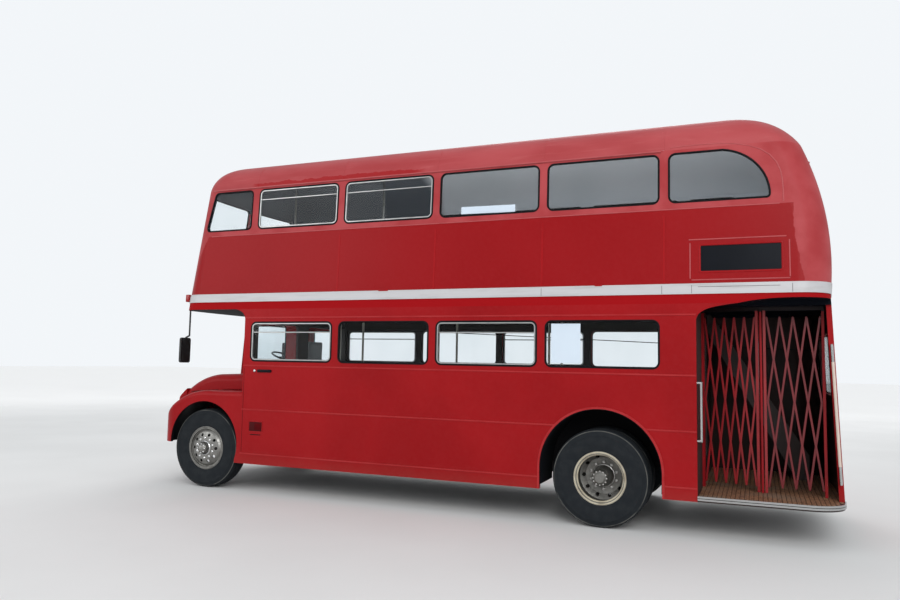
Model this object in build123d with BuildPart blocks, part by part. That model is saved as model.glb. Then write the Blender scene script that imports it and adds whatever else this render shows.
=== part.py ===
from build123d import *
from math import atan2, cos, degrees, hypot, radians, sin, sqrt, tan
import os

os.makedirs("parts", exist_ok=True)

# Rear-platform, half-cab double decker bus. Millimetres, +X forward, +Y nearside (left), +Z up.
# The origin is on the ground, midway between the radiator and the rear panel.

# Overall sizes
OVERALL_LENGTH = 8382.0
BODY_HALF = 1219.0            # half the width over the panels
CROWN_Z = 4382.0              # top of the roof on the centreline
SKIRT_Z = 355.0               # lower edge of the side panels
WALL = 48.0                   # whole wall: outer panel, frame and lining
FIT = 0.3                     # seat clearance between fixed pieces
GAP = 6.0                     # clearance around a piece that moves
PIN_FIT = 0.05                # radial clearance of a pin in its bore

# Stations along the body
BULKHEAD_X = 2591.0           # front bulkhead, first pillar
BAY = 1281.0                  # pillar pitch
BAYS = 4
SIDE_FRONT_X = BULKHEAD_X + 59.0
WHEELBASE = 5131.0
FRONT_AXLE_X = 3258.0
REAR_AXLE_X = FRONT_AXLE_X - WHEELBASE
PLATFORM_FRONT_X = -2838.0
REAR_CORNER_X = -3600.0       # joint between the side and the rear corner panels

# Levels
PLATFORM_Z = 400.0
SALOON_FLOOR_Z = 640.0
SALOON_FLOOR_DEPTH = 50.0
DECK_Z = 2300.0               # underside of the upper deck
DECK_TOP_Z = 2394.0
BAND_TOP_Z = 2500.0
CANT_Z = 3900.0               # top of the upper walls, where the roof begins

# Windows
LOWER_SILL_Z = 1640.0
LOWER_HEAD_Z = 2133.0
UPPER_SILL_Z = 3340.0
UPPER_HEAD_Z = 3862.0
WINDOW_FRONT_MARGIN = 45.0
WINDOW_REAR_MARGIN = 50.0
WINDOW_CORNER = 70.0
GLASS = 6.0
GLASS_INSET = 14.0

# Wheels
TYRE_RADIUS = 503.0
TYRE_WIDTH = 250.0
RIM_RADIUS = 256.0
FRONT_WHEEL_Y = 1030.0
REAR_WHEEL_Y = 920.0
TWIN_SPACING = 290.0
FRONT_ARCH_RADIUS = 606.0
REAR_ARCH_RADIUS = 630.0
REAR_ARCH_TOP_Z = 1215.0
KINGPIN_Y = 860.0
KINGPIN_RADIUS = 22.0
FRONT_SPINDLE_RADIUS = 40.0
REAR_SPINDLE_RADIUS = 60.0

FRONT_X = OVERALL_LENGTH / 2
REAR_X = -OVERALL_LENGTH / 2

# Body form: half width, front and rear of the plan outline as functions of height
TUMBLEHOME = 0.0486           # inward lean of the upper side walls
TUMBLE_Z = 2360.0
SHOULDER_RADIUS = 380.0
CROWN_RADIUS = 2800.0
FRONT_FACE_X = 3780.0         # upper front on the centreline at the lean's lowest point
FRONT_LEAN = 0.136
FRONT_DOME_RADIUS = 480.0
REAR_FACE_X = REAR_X + 79.0
REAR_LEAN = 0.0735
LOWER_REAR_LEAN = 0.0394
REAR_DOME_Z = 3450.0
REAR_DOME_RADIUS = 950.0
DOME_BLEND = radians(12.0)    # slope at which a dome meets the long curve of the roof
PLAN_CORNER = 310.0
PLAN_BOW = 80.0


def arc_reach(radius, lean, rise):
    """Distance a tangent arc has moved inward, at a rise above its start on a leaning wall."""
    slope = atan2(lean, 1.0)
    return radius * cos(slope) - sqrt(max(radius**2 - (rise + radius * sin(slope)) ** 2, 0.0))


def blend_rise(radius, lean):
    """Rise above an arc's start at which its slope is down to the roof's blend slope."""
    return radius * (cos(DOME_BLEND) - sin(atan2(lean, 1.0)))


def half_width(z):
    wall = BODY_HALF - TUMBLEHOME * (min(z, CANT_Z) - TUMBLE_Z) if z > TUMBLE_Z else BODY_HALF
    if z <= CANT_Z:
        return wall
    crown = sqrt(max(2 * CROWN_RADIUS * (CROWN_Z - z), 0.0))
    shoulder_top = SHOULDER_RADIUS * (cos(radians(15.0)) - sin(atan2(TUMBLEHOME, 1.0)))
    if z - CANT_Z < shoulder_top:
        return wall - arc_reach(SHOULDER_RADIUS, TUMBLEHOME, z - CANT_Z)
    return crown


def dome_x(z, start_x, start_z, radius, lean):
    """Inward travel of a front or rear profile above the start of its dome."""
    blend = blend_rise(radius, lean)
    if z - start_z < blend:
        return start_x - arc_reach(radius, lean, z - start_z)
    blend_x = start_x - arc_reach(radius, lean, blend)
    drop = CROWN_Z - start_z - blend
    run = 2 * drop / tan(DOME_BLEND)
    return blend_x - run * (1 - sqrt(max((CROWN_Z - z) / drop, 0.0)))


def front_x(z):
    face = FRONT_FACE_X - FRONT_LEAN * (min(z, CANT_Z) - TUMBLE_Z)
    return face if z <= CANT_Z else dome_x(z, face, CANT_Z, FRONT_DOME_RADIUS, FRONT_LEAN)


def rear_x(z):
    if z <= TUMBLE_Z:
        return REAR_FACE_X - LOWER_REAR_LEAN * (TUMBLE_Z - z)
    face = REAR_FACE_X + REAR_LEAN * (min(z, REAR_DOME_Z) - TUMBLE_Z)
    return face if z <= REAR_DOME_Z else -dome_x(z, -face, REAR_DOME_Z, REAR_DOME_RADIUS, REAR_LEAN)


def plan_outline(z, inset=0.0, shape_z=None):
    """Plan outline of the body at height z, with bowed ends and rounded corners."""
    form_z = z if shape_z is None else shape_z
    half = half_width(form_z) - inset
    front = front_x(form_z) - inset
    rear = rear_x(form_z) + inset
    bow = PLAN_BOW * half / BODY_HALF
    corner = min(PLAN_CORNER, 0.8 * half_width(form_z)) - inset
    with BuildSketch(Plane.XY.offset(z)) as outline:
        with BuildLine():
            Line((rear + bow, half), (front - bow, half))
            ThreePointArc((front - bow, half), (front, 0), (front - bow, -half))
            Line((front - bow, -half), (rear + bow, -half))
            ThreePointArc((rear + bow, -half), (rear, 0), (rear + bow, half))
        make_face()
        fillet(outline.vertices(), corner)
    return outline.sketch


def body_solid(levels, inset=0.0, drop=0.0):
    """Solid body form lofted through plan outlines, each lowered by drop."""
    with BuildPart() as form:
        for level in levels:
            add(plan_outline(level - drop, inset, level))
        loft(ruled=len(levels) == 2)
    return form.part


def side_prism(outline, y_low, y_high):
    """Solid between two Y planes from a face drawn on the XZ plane."""
    with BuildPart() as prism:
        add(outline)
        extrude(amount=y_high - y_low, dir=(0, 1, 0))
    return prism.part.moved(Location((0, y_low, 0)))


def window_face(rear, front, sill, head, corner, trim=0.0):
    """Rounded window outline on the XZ plane."""
    with BuildSketch(Plane.XZ) as face:
        with Locations(((rear + front) / 2, (sill + head) / 2)):
            RectangleRounded(front - rear - 2 * trim, head - sill - 2 * trim, corner - trim)
    return face.sketch


def across(outlines, y_low, y_high):
    """Window prisms through one side."""
    with BuildPart() as prisms:
        for outline in outlines:
            add(side_prism(outline, y_low, y_high))
    return prisms.part


def end_prisms(openings, x_low, x_high, trim=0.0):
    """Prisms along X through openings given as (y low, y high, z low, z high, corner)."""
    with BuildPart() as prisms:
        with BuildSketch(Plane.YZ.offset(x_low)):
            for y_low, y_high, z_low, z_high, corner in openings:
                with Locations(((y_low + y_high) / 2, (z_low + z_high) / 2)):
                    RectangleRounded(y_high - y_low - 2 * trim, z_high - z_low - 2 * trim, corner - trim)
        extrude(amount=x_high - x_low)
    return prisms.part


def block(x_low, x_high, y_low, y_high, z_low, z_high):
    """Plain box between stated faces, for cuts."""
    with BuildPart(mode=Mode.PRIVATE) as made:
        with Locations(((x_low + x_high) / 2, (y_low + y_high) / 2, (z_low + z_high) / 2)):
            Box(x_high - x_low, y_high - y_low, z_high - z_low)
    return made.part


def save(piece, name):
    piece.part.label = name
    export_step(piece.part, f"parts/{name}.step")


# Side window outlines, shared by the walls and the glass
def bay_windows(sill, head, trim=0.0):
    outlines = []
    for bay in range(BAYS):
        front = BULKHEAD_X - bay * BAY - WINDOW_FRONT_MARGIN
        rear = BULKHEAD_X - (bay + 1) * BAY + WINDOW_REAR_MARGIN
        outlines.append(window_face(rear, front, sill, head, WINDOW_CORNER, trim))
    return outlines


REAR_QUARTER_FRONT_X = BULKHEAD_X - BAYS * BAY - WINDOW_FRONT_MARGIN
REAR_QUARTER_LENGTH = 960.0
FRONT_QUARTER_REAR_X = BULKHEAD_X + 60.0
FRONT_QUARTER_TOP = 610.0
FRONT_QUARTER_BOTTOM = 740.0


def rear_quarter_face(trim=0.0):
    """Rear side window: square at the front, its top falling in one curve to the rear."""
    front = REAR_QUARTER_FRONT_X
    rear = front - REAR_QUARTER_LENGTH
    with BuildSketch(Plane.XZ) as face:
        with BuildLine():
            Line((front, UPPER_HEAD_Z), (front, UPPER_SILL_Z))
            Line((front, UPPER_SILL_Z), (rear, UPPER_SILL_Z))
            Line((rear, UPPER_SILL_Z), (rear, UPPER_SILL_Z + 70))
            ThreePointArc(
                (rear, UPPER_SILL_Z + 70),
                (rear + 165, UPPER_HEAD_Z - 125),
                (rear + 430, UPPER_HEAD_Z),
            )
            Line((rear + 430, UPPER_HEAD_Z), (front, UPPER_HEAD_Z))
        make_face()
        fillet(face.vertices().sort_by(Axis.X)[-2:], WINDOW_CORNER)
        fillet(face.vertices().group_by(Axis.Y)[0].sort_by(Axis.X)[:1], WINDOW_CORNER / 2)
        if trim:
            offset(amount=-trim)
    return face.sketch


def front_quarter_face(trim=0.0):
    """Front side window of the upper deck: its front edge leans back with the front."""
    rear = FRONT_QUARTER_REAR_X
    with BuildSketch(Plane.XZ) as face:
        with BuildLine():
            Polyline(
                (rear, UPPER_SILL_Z),
                (rear + FRONT_QUARTER_BOTTOM, UPPER_SILL_Z),
                (rear + FRONT_QUARTER_TOP, UPPER_HEAD_Z),
                (rear, UPPER_HEAD_Z),
                close=True,
            )
        make_face()
        fillet(face.vertices(), WINDOW_CORNER)
        if trim:
            offset(amount=-trim)
    return face.sketch


# Upper shell, its glass zone and the walls cut from them
UPPER_LEVELS = [DECK_TOP_Z, REAR_DOME_Z, CANT_Z]
ROOF_LEVELS = [CANT_Z, 4050.0, 4170.0, 4260.0, 4330.0, CROWN_Z - 2.0]
LOWER_LEVELS = [PLATFORM_Z, DECK_Z]
FAR = OVERALL_LENGTH


def shell(levels, outer, inner, spill=20.0):
    """Wall between two insets of the body form."""
    with BuildPart() as wall:
        add(body_solid(levels, outer))
        add(body_solid([levels[0] - spill] + levels[1:-1] + [levels[-1] + spill], inner), mode=Mode.SUBTRACT)
    return wall.part


upper_shell = shell(UPPER_LEVELS, 0.0, WALL)
upper_glass = shell(UPPER_LEVELS, GLASS_INSET, GLASS_INSET + GLASS)

# Openings in the end walls: y low, y high, z low, z high, corner
FRONT_WINDOWS = [
    (45.0, 960.0, UPPER_SILL_Z, UPPER_HEAD_Z, 70.0),
    (-960.0, -45.0, UPPER_SILL_Z, UPPER_HEAD_Z, 70.0),
]
FRONT_SIGN = (-450.0, 450.0, 2660.0, 3080.0, 24.0)
REAR_SIGN = (-330.0, 330.0, 2640.0, 2900.0, 24.0)
EMERGENCY = (-600.0, 600.0, 3230.0, 3850.0, 70.0)
EMERGENCY_PANES = [(40.0, 530.0, 3330.0, 3790.0, 60.0), (-530.0, -40.0, 3330.0, 3790.0, 60.0)]
EMERGENCY_HINGES = (-350.0, 350.0)
EMERGENCY_HINGE_X = rear_x(EMERGENCY[3]) - 22.0
EMERGENCY_HINGE_Z = EMERGENCY[3] + 2.0
EMERGENCY_EYE_RADIUS = 11.0
EMERGENCY_EYE_HALF = 28.0
EMERGENCY_EAR = 8.0
EMERGENCY_EAR_INNER = EMERGENCY_EYE_HALF + 5.0      # inner face of each ear, from the hinge's middle
EMERGENCY_PIN_HALF = EMERGENCY_EAR_INNER + 3.0
PIN_RADIUS = 5.0
SIDE_SIGN = (-3641.0, -2874.0, 2610.0, 2895.0)
SIGN_CORNER = 24.0
SIGN_INSET = 6.0
SIGN_THICKNESS = 16.0
END_FACE_X = BULKHEAD_X + 700.0       # behind every opening in the front wall
REAR_WALL_X = REAR_CORNER_X - 100.0   # joint between the upper sides and the upper rear


sign_glass = shell(UPPER_LEVELS, SIGN_INSET, SIGN_INSET + SIGN_THICKNESS)


def upper_side(name, side):
    y_low, y_high = sorted([0.0, side * 2 * BODY_HALF])
    with BuildPart() as wall:
        add(upper_shell)
        add(block(REAR_WALL_X, BULKHEAD_X, y_low, y_high, DECK_TOP_Z, CANT_Z), mode=Mode.INTERSECT)
        add(across(bay_windows(UPPER_SILL_Z, UPPER_HEAD_Z), y_low, y_high), mode=Mode.SUBTRACT)
        add(side_prism(rear_quarter_face(), y_low, y_high), mode=Mode.SUBTRACT)
        if side > 0:
            add(side_prism(window_face(*SIDE_SIGN, SIGN_CORNER), y_low, y_high), mode=Mode.SUBTRACT)
    save(wall, name)


upper_side("upper_side_nearside", 1)
upper_side("upper_side_offside", -1)

with BuildPart() as upper_front:
    add(upper_shell)
    add(block(BULKHEAD_X, FAR, -FAR, FAR, DECK_TOP_Z, CANT_Z), mode=Mode.INTERSECT)
    add(end_prisms(FRONT_WINDOWS + [FRONT_SIGN], END_FACE_X, FRONT_X), mode=Mode.SUBTRACT)
    add(side_prism(front_quarter_face(), -FAR, FAR), mode=Mode.SUBTRACT)
save(upper_front, "upper_front")

with BuildPart() as upper_rear:
    add(upper_shell)
    add(block(-FAR, REAR_WALL_X, -FAR, FAR, DECK_TOP_Z, CANT_Z), mode=Mode.INTERSECT)
    add(end_prisms([EMERGENCY, REAR_SIGN], REAR_X, REAR_WALL_X), mode=Mode.SUBTRACT)
    for hinge_y in EMERGENCY_HINGES:
        with BuildSketch(Plane.XZ.offset(-(hinge_y - EMERGENCY_EYE_HALF))):
            with Locations((EMERGENCY_HINGE_X, EMERGENCY_HINGE_Z)):
                Circle(EMERGENCY_EYE_RADIUS)
                with Locations((0, 1)):
                    Rectangle(40, EMERGENCY_EYE_RADIUS - 1, align=(Align.MIN, Align.MIN))
                Circle(PIN_RADIUS + PIN_FIT, mode=Mode.SUBTRACT)
        extrude(amount=-2 * EMERGENCY_EYE_HALF)
save(upper_rear, "upper_rear")

# Roof: two domes and the long panel between them
with BuildPart() as roof_shell:
    add(body_solid(ROOF_LEVELS))
    add(body_solid(ROOF_LEVELS, WALL, WALL), mode=Mode.SUBTRACT)
ROOF_PIECES = [
    ("roof_front_dome", BULKHEAD_X, FAR),
    ("roof_centre", BULKHEAD_X - BAYS * BAY, BULKHEAD_X),
    ("roof_rear_dome", -FAR, BULKHEAD_X - BAYS * BAY),
]
for name, x_low, x_high in ROOF_PIECES:
    with BuildPart() as roof_piece:
        add(roof_shell.part)
        add(block(x_low, x_high, -FAR, FAR, CANT_Z, CROWN_Z), mode=Mode.INTERSECT)
    save(roof_piece, name)

# Upper deck floor with the stairwell
STAIR_TOP_X = PLATFORM_FRONT_X - 3.0
STAIR_FOOT_X = -3930.0
STAIR_OUTER_Y = -BODY_HALF + WALL + 20.0
STAIR_INNER_Y = -560.0
STRINGER = 25.0
STAIRWELL_REAR_X = -3760.0
DECK_EDGE_Y = 860.0           # outboard of here the deck is thinner over the platform opening
PLATFORM_HEAD = [
    (-3230.0, DECK_Z - 1),
    (-3390.0, DECK_Z + 28.0),
    (-3616.0, DECK_Z + 46.0),
    (-3900.0, DECK_Z + 48.0),
]
with BuildPart() as deck:
    add(body_solid([DECK_Z, DECK_TOP_Z]))
    add(
        block(
            STAIRWELL_REAR_X,
            STAIR_TOP_X,
            STAIR_OUTER_Y - 1,
            STAIR_INNER_Y + STRINGER + 5,
            DECK_Z - 1,
            DECK_TOP_Z + 1,
        ),
        mode=Mode.SUBTRACT,
    )
    with BuildSketch(Plane.XZ.offset(-DECK_EDGE_Y)):
        with BuildLine():
            Spline(*PLATFORM_HEAD)
            Polyline(PLATFORM_HEAD[-1], (-FAR, PLATFORM_HEAD[-1][1]), (-FAR, DECK_Z - 1), PLATFORM_HEAD[0])
        make_face()
    extrude(amount=-FAR, mode=Mode.SUBTRACT)
save(deck, "upper_deck_floor")

BAND_DEPTH = 8.0
with BuildPart() as band:
    add(shell(UPPER_LEVELS, -BAND_DEPTH, -FIT))
    add(block(-FAR, FAR, -FAR, FAR, DECK_TOP_Z, BAND_TOP_Z), mode=Mode.INTERSECT)
save(band, "waist_band")

# Lower side walls with beadings, windows and the rear wheel arch
BEAD_DEPTH = 5.0
BEAD_HEIGHT = 16.0
LOWER_BEADS = [480.0, 1030.0, 1582.0, 2190.0]
ARCH_BEAD = 22.0
ARCH_Z = REAR_ARCH_TOP_Z - REAR_ARCH_RADIUS


def arch_prism(radius, y_low, y_high, foot):
    """Solid of the wheel arch opening: a half circle over straight sides down to foot."""
    with BuildPart() as prism:
        with BuildSketch(Plane.XZ.offset(-y_low)):
            with Locations((REAR_AXLE_X, ARCH_Z)):
                Circle(radius)
            with Locations((REAR_AXLE_X, (ARCH_Z + foot) / 2)):
                Rectangle(2 * radius, ARCH_Z - foot)
        extrude(amount=-(y_high - y_low))
        add(block(-FAR, FAR, -FAR, FAR, -FAR, foot), mode=Mode.SUBTRACT)
    return prism.part


def lower_side(name, side):
    inner = BODY_HALF - WALL
    bead_y = sorted([side * (BODY_HALF - 1), side * (BODY_HALF + BEAD_DEPTH)])
    wall_y = sorted([side * inner, side * BODY_HALF])
    with BuildPart() as wall:
        add(block(PLATFORM_FRONT_X, SIDE_FRONT_X, *wall_y, SKIRT_Z, DECK_Z))
        for level in LOWER_BEADS:
            low = level - BEAD_HEIGHT / 2
            add(block(PLATFORM_FRONT_X, SIDE_FRONT_X, *bead_y, low, low + BEAD_HEIGHT))
        add(arch_prism(REAR_ARCH_RADIUS + ARCH_BEAD, *bead_y, SKIRT_Z))
        add(arch_prism(REAR_ARCH_RADIUS, wall_y[0] - 20, wall_y[1] + 20, SKIRT_Z - 20), mode=Mode.SUBTRACT)
        windows = across(bay_windows(LOWER_SILL_Z, LOWER_HEAD_Z), wall_y[0] - 20, wall_y[1] + 20)
        add(windows, mode=Mode.SUBTRACT)
        if side > 0:
            with BuildSketch(Plane.XZ.offset(-BODY_HALF)):
                for outline in (VALANCE, GUSSET):
                    with BuildLine():
                        Bezier(*outline)
                        Polyline(outline[-1], (outline[-1][0], outline[0][1]), outline[0])
                    make_face()
            extrude(amount=VALANCE_DEPTH)
    save(wall, name)


# Curved edges beside the nearside wall: valance over the platform opening, gusset under the upper front
VALANCE_DEPTH = 25.0
VALANCE = [
    (PLATFORM_HEAD[0][0], DECK_Z - FIT),
    (PLATFORM_HEAD[0][0] + 240.0, DECK_Z - 32.0),
    (PLATFORM_FRONT_X + 1, DECK_Z - 50.0),
    (PLATFORM_FRONT_X + 1, DECK_Z - 190.0),
]
GUSSET = [
    (SIDE_FRONT_X + 150.0, DECK_Z - FIT),
    (SIDE_FRONT_X + 60.0, DECK_Z - 20.0),
    (SIDE_FRONT_X - 1, DECK_Z - 60.0),
    (SIDE_FRONT_X - 1, DECK_Z - 130.0),
]
lower_side("lower_side_nearside", 1)
lower_side("lower_side_offside", -1)

# Rear panel of the lower deck: the offside, its corner and the rear up to the open nearside corner
REAR_PANEL_EDGE_Y = 830.0
REAR_LOWER_WINDOW = (-620.0, 330.0, 1400.0, 2040.0, 70.0)
lower_shell = shell(LOWER_LEVELS, 0.0, WALL)
with BuildPart() as rear_panel:
    add(lower_shell)
    add(block(-FAR, PLATFORM_FRONT_X - FIT, -FAR, REAR_PANEL_EDGE_Y, PLATFORM_Z, DECK_Z), mode=Mode.INTERSECT)
    add(end_prisms([REAR_LOWER_WINDOW], REAR_X - 20, REAR_X + 400), mode=Mode.SUBTRACT)
save(rear_panel, "rear_lower_panel")

# Platform with transverse slats, and its aluminium edge
SLAT_PITCH = 52.0
SLAT_GROOVE = 8.0
SLAT_DEPTH = 6.0
PLATFORM_LEVELS = [SKIRT_Z, PLATFORM_Z]
with BuildPart() as platform:
    add(body_solid(PLATFORM_LEVELS))
    add(block(-FAR, PLATFORM_FRONT_X - FIT, -FAR, FAR, SKIRT_Z, PLATFORM_Z), mode=Mode.INTERSECT)
    with BuildSketch(Plane.XY.offset(PLATFORM_Z)):
        with Locations(((PLATFORM_FRONT_X + STAIR_FOOT_X) / 2, 295.0)):
            with GridLocations(SLAT_PITCH, 1, int((PLATFORM_FRONT_X - STAIR_FOOT_X) / SLAT_PITCH), 1):
                Rectangle(SLAT_GROOVE, 1650.0)
    extrude(amount=-SLAT_DEPTH, mode=Mode.SUBTRACT)
save(platform, "platform")

TRIM_DEPTH = 12.0
TRIM_Z = (370.0, 413.0)
with BuildPart() as platform_trim:
    add(body_solid(TRIM_Z, -TRIM_DEPTH))
    add(body_solid([TRIM_Z[0] - 10, TRIM_Z[1] + 10], -FIT), mode=Mode.SUBTRACT)
    add(block(-FAR, PLATFORM_FRONT_X - FIT, REAR_PANEL_EDGE_Y, FAR, *TRIM_Z), mode=Mode.INTERSECT)

# Lower saloon: floor, wheel boxes, bulkheads
INNER_HALF = BODY_HALF - WALL - FIT
WHEEL_BOX_Y = 610.0
WHEEL_BOX_WALL = 15.0
FLOOR_FRONT_X = BULKHEAD_X - WALL / 2 - FIT
REAR_BULKHEAD = 40.0
FLOOR_REAR_X = PLATFORM_FRONT_X + REAR_BULKHEAD + FIT
FLOOR_LOW_Z = SALOON_FLOOR_Z - SALOON_FLOOR_DEPTH
with BuildPart() as saloon_floor:
    add(block(FLOOR_REAR_X, FLOOR_FRONT_X, -INNER_HALF, INNER_HALF, FLOOR_LOW_Z, SALOON_FLOOR_Z))
    for side in (1, -1):
        box_y = sorted([side * (WHEEL_BOX_Y), side * 2 * BODY_HALF])
        reach = REAR_ARCH_RADIUS + WHEEL_BOX_WALL
        add(block(REAR_AXLE_X - reach, REAR_AXLE_X + reach, *box_y, 0.0, DECK_Z), mode=Mode.SUBTRACT)

with BuildPart() as wheel_boxes:
    for side in (1, -1):
        outer_y = sorted([side * WHEEL_BOX_Y, side * INNER_HALF])
        inner_y = sorted([side * (WHEEL_BOX_Y + WHEEL_BOX_WALL), side * (INNER_HALF + 20)])
        add(arch_prism(REAR_ARCH_RADIUS + WHEEL_BOX_WALL, *outer_y, FLOOR_LOW_Z))
        add(arch_prism(REAR_ARCH_RADIUS, *inner_y, FLOOR_LOW_Z - 20), mode=Mode.SUBTRACT)
with BuildPart() as floor:
    add(saloon_floor.part)
    add(wheel_boxes.part)
save(floor, "saloon_floor")

BULKHEAD_WINDOWS = [
    (120.0, 1040.0, 1560.0, LOWER_HEAD_Z, 60.0),
    (-1040.0, -120.0, 1560.0, LOWER_HEAD_Z, 60.0),
]
with BuildPart() as bulkhead:
    bulkhead_x = (BULKHEAD_X - WALL / 2, BULKHEAD_X + WALL / 2)
    add(block(*bulkhead_x, -INNER_HALF, INNER_HALF, FLOOR_LOW_Z, DECK_Z - FIT))
    add(end_prisms(BULKHEAD_WINDOWS, BULKHEAD_X - WALL, BULKHEAD_X + WALL), mode=Mode.SUBTRACT)
save(bulkhead, "front_bulkhead")

DOORWAY_HALF = 340.0
DOORWAY_HEAD_Z = 2180.0
with BuildPart() as rear_bulkhead:
    x_high = PLATFORM_FRONT_X + REAR_BULKHEAD
    add(block(PLATFORM_FRONT_X, x_high, -INNER_HALF, INNER_HALF, SKIRT_Z, DECK_Z - FIT))
    add(
        block(PLATFORM_FRONT_X - 1, x_high + 1, -DOORWAY_HALF, DOORWAY_HALF, SALOON_FLOOR_Z, DOORWAY_HEAD_Z),
        mode=Mode.SUBTRACT,
    )
save(rear_bulkhead, "rear_bulkhead")

# Staircase from the platform to the upper deck, along the offside
RISERS = 9
TREAD_THICKNESS = 30.0
rise = (DECK_TOP_Z - PLATFORM_Z) / RISERS
run = (STAIR_TOP_X - FIT - STAIR_FOOT_X) / (RISERS - 1)
with BuildPart() as staircase:
    with BuildSketch(Plane.XZ.offset(-STAIR_INNER_Y)):
        for step in range(RISERS - 1):
            step_x = STAIR_FOOT_X + step * run
            step_z = PLATFORM_Z + FIT + step * rise
            with Locations((step_x, step_z)):
                Rectangle(TREAD_THICKNESS, rise, align=(Align.MIN, Align.MIN))
            tread = run + TREAD_THICKNESS if step < RISERS - 2 else run
            with Locations((step_x, step_z + rise)):
                Rectangle(tread, TREAD_THICKNESS, align=(Align.MIN, Align.MAX))
    extrude(amount=STAIR_INNER_Y - STAIR_OUTER_Y)
    with BuildSketch(Plane.XZ.offset(-STAIR_INNER_Y)):
        with BuildLine():
            Polyline(
                (STAIR_FOOT_X, PLATFORM_Z + FIT),
                (STAIR_FOOT_X + run, PLATFORM_Z + FIT),
                (STAIR_TOP_X - FIT, DECK_Z - rise),
                (STAIR_TOP_X - FIT, DECK_Z + 60),
                (STAIR_FOOT_X, PLATFORM_Z + rise + 60),
                close=True,
            )
        make_face()
    extrude(amount=-STRINGER)
    add(body_solid([SKIRT_Z, DECK_TOP_Z], WALL + 20), mode=Mode.INTERSECT)
save(staircase, "staircase")


# Seats: a cushion and a raked back on two end frames; one row per station
CUSHION_Z = 440.0             # top of the cushion above the floor
CUSHION = 110.0
SEAT_DEPTH = 430.0
BACK_HEIGHT = 520.0
BACK = 60.0
BACK_RAKE = 55.0              # how far the back leans behind the cushion
SEAT_WIDTH = 860.0
FRAME = 25.0
FRAME_INSET = 60.0
LOWER_ROWS = [2300.0 - row * 720.0 for row in range(5)]
UPPER_ROWS = [3120.0 - row * 700.0 for row in range(9)]
SEAT_PLACES = [(front, SALOON_FLOOR_Z, side) for front in LOWER_ROWS for side in (1, -1)]
SEAT_PLACES += [(front, DECK_TOP_Z, 1) for front in UPPER_ROWS]
SEAT_PLACES += [(front, DECK_TOP_Z, -1) for front in UPPER_ROWS[:-1]]      # the stairwell takes the last


def seat_span(floor_z, side):
    """Y limits of a double seat that stands 20 mm off the side wall."""
    outer = side * (half_width(floor_z + CUSHION_Z + BACK_HEIGHT) - WALL - 20.0)
    return sorted([outer, outer - side * SEAT_WIDTH])


def seat_cushions(front, floor_z, side):
    """Cushion and back of a double seat whose front edge is at X = front."""
    y_low, y_high = seat_span(floor_z, side)
    rear = front - SEAT_DEPTH
    top = floor_z + CUSHION_Z
    low = top - CUSHION
    with BuildPart() as seat:
        with BuildSketch(Plane.XZ.offset(-y_high)):
            with BuildLine():
                Polyline(
                    (front, top - 15),
                    (front - 20, top),
                    (rear + BACK, top - 25),
                    (rear + BACK, low),
                    (front, low),
                    close=True,
                )
            make_face()
            with BuildLine():
                Polyline(
                    (rear + BACK - FIT, top),
                    (rear - BACK_RAKE, top + BACK_HEIGHT),
                    (rear - BACK_RAKE - BACK, top + BACK_HEIGHT),
                    (rear, low),
                    (rear + BACK - FIT, low),
                    close=True,
                )
            make_face()
        extrude(amount=y_high - y_low)
    return seat.part


def end_frames(front, floor_z, side):
    """Two open hoops that stand on the floor under a double seat."""
    y_low, y_high = seat_span(floor_z, side)
    x_rear = front - SEAT_DEPTH + FRAME_INSET
    x_front = front - FRAME_INSET
    top = floor_z + CUSHION_Z - CUSHION - FIT
    with BuildPart() as frames:
        for frame_y in (y_low + FRAME_INSET, y_high - FRAME_INSET - FRAME):
            with BuildSketch(Plane.XZ.offset(-frame_y)):
                with BuildLine():
                    Polyline(
                        (x_rear, floor_z + FIT),
                        (x_rear, top),
                        (x_front, top),
                        (x_front, floor_z + FIT),
                        (x_front - FRAME, floor_z + FIT),
                        (x_front - FRAME, top - FRAME),
                        (x_rear + FRAME, top - FRAME),
                        (x_rear + FRAME, floor_z + FIT),
                        close=True,
                    )
                make_face()
            extrude(amount=-FRAME)
    return frames.part


BENCH_HALF = 600.0
BENCH_CUSHION = 70.0
BENCH_BACK = 350.0
BENCH_BACK_DEPTH = 65.0
with BuildPart() as passenger_seats:
    for place in SEAT_PLACES:
        add(seat_cushions(*place))
    for side in (1, -1):
        wall_y = INNER_HALF - 5.0
        bench_y = sorted([side * wall_y, side * (WHEEL_BOX_Y + 10)])
        back_y = sorted([side * wall_y, side * (wall_y - BENCH_BACK_DEPTH)])
        bench_x = (REAR_AXLE_X - BENCH_HALF, REAR_AXLE_X + BENCH_HALF)
        bench_z = REAR_ARCH_TOP_Z + WHEEL_BOX_WALL + FIT
        back_z = bench_z + BENCH_CUSHION + FIT
        add(block(*bench_x, *bench_y, bench_z, bench_z + BENCH_CUSHION))
        add(block(*bench_x, *back_y, back_z, back_z + BENCH_BACK))
save(passenger_seats, "passenger_seats")

# Glass: side panes of both decks, then the end panes
with BuildPart() as upper_side_openings:
    add(across(bay_windows(UPPER_SILL_Z, UPPER_HEAD_Z, FIT), -FAR, FAR))
    add(side_prism(rear_quarter_face(FIT), -FAR, FAR))
    add(side_prism(front_quarter_face(FIT), -FAR, FAR))
with BuildPart() as side_glass:
    add(upper_glass)
    add(upper_side_openings.part, mode=Mode.INTERSECT)
    for side in (1, -1):
        pane_y = sorted([side * (BODY_HALF - GLASS_INSET), side * (BODY_HALF - GLASS_INSET - GLASS)])
        add(across(bay_windows(LOWER_SILL_Z, LOWER_HEAD_Z, FIT), *pane_y))
save(side_glass, "side_glass")

with BuildPart() as upper_front_glass:
    add(upper_glass)
    add(end_prisms(FRONT_WINDOWS, END_FACE_X, FRONT_X, FIT), mode=Mode.INTERSECT)

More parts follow.
